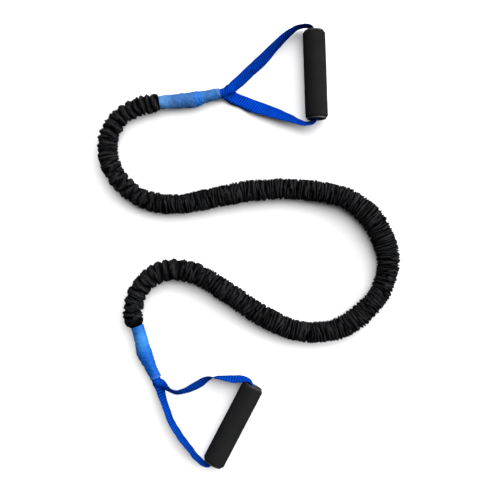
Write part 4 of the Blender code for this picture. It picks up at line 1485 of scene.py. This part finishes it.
@dataclass
class Grip:
    """Foam roll held between the collars of its core: turned pieces round a level axis.

    Args:
        middle: its middle, seen from above.
        heading: direction of its axis, in degrees.
    """

    end: CuffEnd
    middle: tuple[float, float]
    heading: float
    foam: bpy.types.Material
    plastic: bpy.types.Material
    seed: int
    length: float = 0.121
    radius: float = 0.01541
    axis_height: float = 0.0154254
    foam_bore: float = 0.0119
    rounding: float = 0.0030
    core_outer: float = 0.0116
    core_inner: float = 0.0101
    collar_radius: float = 0.0132
    collar_length: float = 0.0020
    mouth_flare: float = 0.0009
    foam_play: float = 0.0001     # between the foam's end and the collar
    foam_dents: float = 0.00008
    columns: int = 112

    def turned(self, name: str, profile: Array, relief: Array) -> bpy.types.Object:
        """Turned piece from a closed profile of (radius, distance along the axis).

        Args:
            name: the piece's name.
            profile: closed outline.
            relief: change of radius for each profile point and column.

        Returns:
            The new object.
        """
        heading = math.radians(self.heading)
        axis = np.array([math.cos(heading), math.sin(heading), 0.0])
        side = np.cross(axis, UP)
        angles = even_angles(self.columns)
        ring = np.cos(angles)[:, None] * side + np.sin(angles)[:, None] * UP
        middle = np.array([*self.middle, self.axis_height])
        radius = profile[:, :1] + relief
        return put_shell(name, middle + profile[:, 1][:, None, None] * axis
                         + ring[None] * radius[..., None])

    def build_foam(self) -> bpy.types.Object:
        """Make the foam roll, slightly uneven.

        Returns:
            The foam.
        """
        half = self.length / 2 - self.collar_length - self.foam_play
        outline = [(self.radius, half, self.rounding), (self.radius, -half, self.rounding),
                   (self.foam_bore, -half, 0.0004), (self.foam_bore, half, 0.0004)]
        profile = rounded_outline(outline, 0.0013)
        angles = even_angles(self.columns)
        soft = surface_wander(self.seed, len(profile), angles, 21, 3)
        on_skin = profile[:, :1] > self.radius - 0.001
        foam = self.turned(self.end.name + "_foam", profile,
                           np.minimum(self.foam_dents * soft, 0.0) * on_skin)
        foam.data.materials.append(self.foam)
        return foam

    def build_core(self) -> bpy.types.Object:
        """Make the core: a tube with a collar at each end, whose mouth widens outwards.

        Returns:
            The core.
        """
        half = self.length / 2
        inside = half - self.collar_length
        first = [(self.core_inner, inside, 0.0006),
                 (self.core_inner + self.mouth_flare, half, 0.0005),
                 (self.collar_radius, half, 0.0008), (self.collar_radius, inside, 0.0004),
                 (self.core_outer, inside, 0.0002)]
        outline = first + [(r, -h, rounding) for r, h, rounding in reversed(first)]
        profile = rounded_outline(outline, 0.0025)
        core = self.turned(self.end.name + "_core", profile,
                           np.zeros((len(profile), self.columns)))
        core.data.materials.append(self.plastic)
        return core

    def build(self) -> list[bpy.types.Object]:
        """Make the foam and the core, which turn together.

        Returns:
            Both pieces.
        """
        foam, core = self.build_foam(), self.build_core()
        for piece, node, slot in ((foam, "_grip_foam", "grip_foam"),
                                  (core, "_grip_core", "core_plastic")):
            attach(piece, self.end.grip.value)
            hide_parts(self.end.name + node)
        return [foam, core]


@dataclass
class LatexTube:
    """Elastic tube inside the sleeve, swollen over a ball plug near each end.

    Its outside radius is the plain one, growing over a ball by a squared cosine of the
    distance from its middle. Inside, a plain bore opens into a round hollow for the ball.
    """

    line: Centreline
    ends: tuple[CuffEnd, CuffEnd]
    bore_radius: float = 0.0025
    hollow_radius: float = 0.0053
    step: float = 0.004
    columns: int = 24

    def build(self, patterns: Patterns) -> bpy.types.Object:
        """Make the tube as one closed shell: its outside, cut ends and inside.

        Args:
            patterns: the shared node groups.

        Returns:
            The tube.
        """
        upper, lower = self.ends
        balls = np.array([upper.ball, self.line.length - lower.ball])
        first, last = balls + np.array([-SWELL_REACH, SWELL_REACH])
        close = np.linspace(-SWELL_REACH, SWELL_REACH, 33)
        run = np.arange(balls[0] + SWELL_REACH, balls[1] - SWELL_REACH, self.step)[1:-1]
        distance = np.concatenate([balls[0] + close, run, balls[1] + close])
        away = np.abs(distance[:, None] - balls[None]).min(axis=1)
        swell = np.cos(np.clip(away / SWELL_REACH, 0.0, 1.0) * math.pi / 2) ** 2
        outer = TUBE_RADIUS + (SWELL_RADIUS - TUBE_RADIUS) * swell
        hollow = np.sqrt(np.clip(self.hollow_radius ** 2 - away ** 2, 0.0, None))
        inner = np.maximum(hollow, self.bore_radius)
        place = np.concatenate([distance, [last], distance[::-1], [first]])
        middle_wall = (TUBE_RADIUS + self.bore_radius) / 2
        radius = np.concatenate([outer, [middle_wall], inner[::-1], [middle_wall]])
        centre, _travel, side, over = self.line.at(place)
        angles = even_angles(self.columns)
        points = centre[:, None] + rings(angles, side, over) * radius[:, None, None]
        piece = put_shell("elastic_tube", points)
        piece.data.set_sharp_from_angle(angle=math.radians(50))
        finish = SmoothPlastic("tube_latex", 0.40, colour=(0.028, 0.095, 0.34),
                               marked=(0.040, 0.13, 0.42))
        piece.data.materials.append(finish.build(patterns))
        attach(piece, Body.TUBE.value)
        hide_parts("latex_tube")
        return piece


def dress_hidden_nodes(patterns: Patterns) -> None:
    """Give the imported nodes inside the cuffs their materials; they keep their shapes.

    Args:
        patterns: the shared node groups.
    """
    ball = SmoothPlastic("plug_plastic", 0.45, colour=(0.52, 0.52, 0.50),
                         marked=(0.64, 0.64, 0.61))
    finishes = {"_plug": ball.build(patterns), "_binding": WoundThread().build(patterns)}
    for name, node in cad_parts.items():
        for ending, finish in finishes.items():
            if name.endswith(ending):
                node.data.materials.clear()
                node.data.materials.append(finish)
                log.info("dressed %s", name)


@dataclass(frozen=True)
class SoftLight:
    """A far, broad light.

    Args:
        name: the light's name.
        source: direction towards it.
        power: its strength on a surface that faces it.
        spread: how broad it looks from the object, in degrees.
    """

    name: str
    source: Place
    power: float
    spread: float

    def build(self) -> None:
        """Hang the light."""
        lamp = bpy.data.lights.new(self.name, "SUN")
        lamp.angle = math.radians(self.spread)
        lamp.energy = self.power
        light = bpy.data.objects.new(self.name, lamp)
        x, y, z = self.source
        tilt, turn = math.atan2(math.hypot(x, y), z), math.atan2(y, x) + math.pi / 2
        light.rotation_euler = (tilt, 0.0, turn)
        bpy.context.scene.collection.objects.link(light)


@dataclass
class Studio:
    """Pale floor, two soft lights, and the camera straight above.

    The main light stands beyond the top of the picture; a weaker, lower one on the right
    shades the grips from side to side.
    """

    camera_place: Place = (0.029, -0.004, 0.965)
    lens_mm: float = 49.97
    sensor_mm: float = 36.0
    sky: float = 0.12
    lights: tuple[SoftLight, ...] = (
        SoftLight("main_light", (0.17, 0.60, 0.77), 4.9, 80.0),
        SoftLight("side_light", (0.97, 0.0, 0.24), 4.2, 40.0),
    )
    floor_reach: float = 6.0
    floor_seen: float = 0.93
    floor_bounce: float = 0.16

    def paper(self) -> bpy.types.Material:
        """White paper, which throws back less light on the object than on the camera.

        Returns:
            The material.
        """
        made = bpy.data.materials.new("floor_paper")
        made.use_nodes = True
        sheet = Sheet(made.node_tree)
        seen = made.node_tree.nodes["Principled BSDF"]
        bounce = sheet.add("ShaderNodeBsdfPrincipled")
        for shader, grey in ((seen, self.floor_seen), (bounce, self.floor_bounce)):
            shader.inputs["Base Color"].default_value = (grey, grey, grey, 1.0)
            shader.inputs["Roughness"].default_value = 0.95
            shader.inputs["Specular IOR Level"].default_value = 0.0
        output = made.node_tree.nodes["Material Output"]
        sheet.feed(output.inputs["Surface"], sheet.for_camera(bounce, seen))
        return made

    def surroundings(self) -> bpy.types.World:
        """White surroundings, which light the object less than they look.

        Returns:
            The world.
        """
        made = bpy.data.worlds.new("studio")
        made.use_nodes = True
        sheet = Sheet(made.node_tree)
        white = (1.0, 1.0, 1.0, 1.0)
        lit = sheet.add("ShaderNodeBackground", inputs={"Color": white, "Strength": self.sky})
        seen = sheet.add("ShaderNodeBackground", inputs={"Color": white, "Strength": 1.0})
        output = made.node_tree.nodes["World Output"]
        sheet.feed(output.inputs["Surface"], sheet.for_camera(lit, seen))
        return made

    def build(self) -> None:
        """Set the stage."""
        far = self.floor_reach
        corners = np.array([(-far, -far, 0.0), (far, -far, 0.0), (far, far, 0.0), (-far, far, 0.0)])
        floor = put_mesh("floor", corners, np.array([(0, 1, 2, 3)]))
        floor.data.materials.append(self.paper())
        scene = bpy.context.scene
        scene.world = self.surroundings()
        scene.view_settings.view_transform = "Standard"
        for light in self.lights:
            light.build()
        camera = bpy.data.cameras.new("picture_camera")
        camera.lens = self.lens_mm
        camera.sensor_width = self.sensor_mm
        camera.clip_start = 0.01
        holder = bpy.data.objects.new("picture_camera", camera)
        holder.location = self.camera_place
        scene.collection.objects.link(holder)
        scene.camera = holder


UPPER_CUFF_PROFILE: tuple[tuple[float, float], ...] = (
    (0, 7.6), (6, 7.7), (14, 7.8), (20, 8.1), (26, 9.1), (32, 10.4), (38, 10.8), (46, 10.6),
    (54, 10.2), (62, 9.8), (72, 9.4), (84, 9.1),
)
LOWER_CUFF_PROFILE: tuple[tuple[float, float], ...] = (
    (0, 7.6), (6, 7.7), (14, 7.8), (22, 8.3), (30, 9.6), (37, 10.3), (43, 10.1), (52, 9.4),
    (60, 9.1), (68, 8.9), (76, 8.8),
)
# Cuff colours by share of the way from the mouth; the upper cuff's pale stops at 0.88 and 0.96 and
# the lower cuff's at 0.68 and 0.77 are partly painted highlight
UPPER_CUFF_STOPS: tuple[tuple[float, Colour], ...] = (
    (0.00, (0.046, 0.125, 0.267)), (0.04, (0.018, 0.094, 0.314)), (0.12, (0.021, 0.102, 0.317)),
    (0.21, (0.018, 0.081, 0.248)), (0.29, (0.018, 0.096, 0.270)), (0.36, (0.002, 0.085, 0.420)),
    (0.40, (0.004, 0.085, 0.360)), (0.46, (0.026, 0.114, 0.322)), (0.54, (0.015, 0.069, 0.232)),
    (0.62, (0.026, 0.109, 0.321)), (0.71, (0.021, 0.088, 0.279)), (0.79, (0.038, 0.113, 0.302)),
    (0.88, (0.062, 0.191, 0.462)), (0.96, (0.063, 0.181, 0.419)), (1.00, (0.050, 0.150, 0.380)),
)
LOWER_CUFF_STOPS: tuple[tuple[float, Colour], ...] = (
    (0.00, (0.030, 0.104, 0.290)), (0.05, (0.003, 0.063, 0.325)), (0.14, (0.001, 0.056, 0.310)),
    (0.23, (0.001, 0.062, 0.338)), (0.32, (0.001, 0.060, 0.312)), (0.41, (0.002, 0.063, 0.314)),
    (0.50, (0.003, 0.087, 0.353)), (0.59, (0.009, 0.102, 0.340)), (0.68, (0.024, 0.157, 0.421)),
    (0.77, (0.032, 0.174, 0.448)), (0.86, (0.015, 0.114, 0.386)), (0.95, (0.011, 0.099, 0.344)),
    (1.00, (0.011, 0.090, 0.320)),
)

# Folds of the webbing; each one's shade is painted shade, and the second lower one is painted shade
# alone, with neither depth nor turn
UPPER_FOLDS: tuple[Fold, ...] = (
    Fold((0.0305, 0.2440), 0.0016, -1, depth=-0.0007, inset=-0.05, shade=0.60),
    Fold((0.0350, 0.2485), 0.0030, 1, depth=0.0005, inset=0.10, shade=0.15),
    Fold((0.0085, 0.2045), 0.0220, 1, turn=-80.0, inset=0.33, shade=0.55),
    Fold((0.0180, 0.2010), 0.0040, -1, depth=0.0005, inset=0.10, shade=0.15),
)
LOWER_FOLDS: tuple[Fold, ...] = (
    Fold((-0.0925, -0.1897), 0.0050, -1, depth=0.0004, inset=0.20, shade=0.35),
    Fold((-0.0935, -0.2000), 0.0140, 1, inset=-0.60, shade=0.30),
    Fold((-0.0180, -0.1791), 0.0030, 1, depth=0.0004, inset=0.0, shade=0.15),
)


def main() -> None:
    """Build the studio, the tube and its handles."""
    logging.basicConfig(level=logging.INFO, format="%(name)s: %(message)s")
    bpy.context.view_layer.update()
    patterns = Patterns()
    Studio().build()
    log.info("studio set")
    upper = CuffEnd("upper", Body.UPPER_STRAP, Body.UPPER_GRIP, 0.084, 0.0390, 0.070, 0.0593,
                    UPPER_LOOP, False)
    lower = CuffEnd("lower", Body.LOWER_STRAP, Body.LOWER_GRIP, 0.076, 0.0390, 0.062, 0.0593,
                    LOWER_LOOP, True)
    line = lay_centreline((upper, lower))
    tube = LatexTube(line, (upper, lower)).build(patterns)
    log.info("built %s", tube.name)
    sleeve = GatheredSleeve(line, (upper, lower)).build(patterns, tube)
    log.info("%s: %d faces", sleeve.name, len(sleeve.data.polygons))
    upper_webbing = Webbing("upper_webbing_cloth").build(patterns)
    lower_webbing = Webbing("lower_webbing_cloth", light=(0.0008, 0.061, 0.47), slant=0.0,
                            ribs=168.0, bend=0.40, contrast=0.75).build(patterns)
    foam = GripFoam().build(patterns)
    plastic = SmoothPlastic("core_plastic", 0.50, colour=(0.0160, 0.0180, 0.0172),
                            marked=(0.0215, 0.0240, 0.0230)).build(patterns)
    cuffs = (
        Cuff(line, upper, CuffRubber("upper_cuff_rubber", stops=UPPER_CUFF_STOPS),
             UPPER_CUFF_PROFILE, -0.9, 101),
        Cuff(line, lower, CuffRubber("lower_cuff_rubber", stops=LOWER_CUFF_STOPS,
                                     pale=(0.020, 0.125, 0.46)),
             LOWER_CUFF_PROFILE, -1.3, 202),
    )
    straps = (
        Strap(line, upper, upper_webbing, UPPER_FOLDS, 303),
        Strap(line, lower, lower_webbing, LOWER_FOLDS, 404),
    )
    grips = (
        Grip(upper, (0.1183, 0.2356), 91.9, foam, plastic, 505),
        Grip(lower, (0.0058, -0.2428), 62.45, foam, plastic, 606),
    )
    for cuff in cuffs:
        log.info("built %s", cuff.build(patterns).name)
    for strap in straps:
        log.info("built %s", strap.build().name)
    for grip in grips:
        for piece in grip.build():
            log.info("built %s", piece.name)
    dress_hidden_nodes(patterns)
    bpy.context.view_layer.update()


if __name__ == "__main__":
    main()
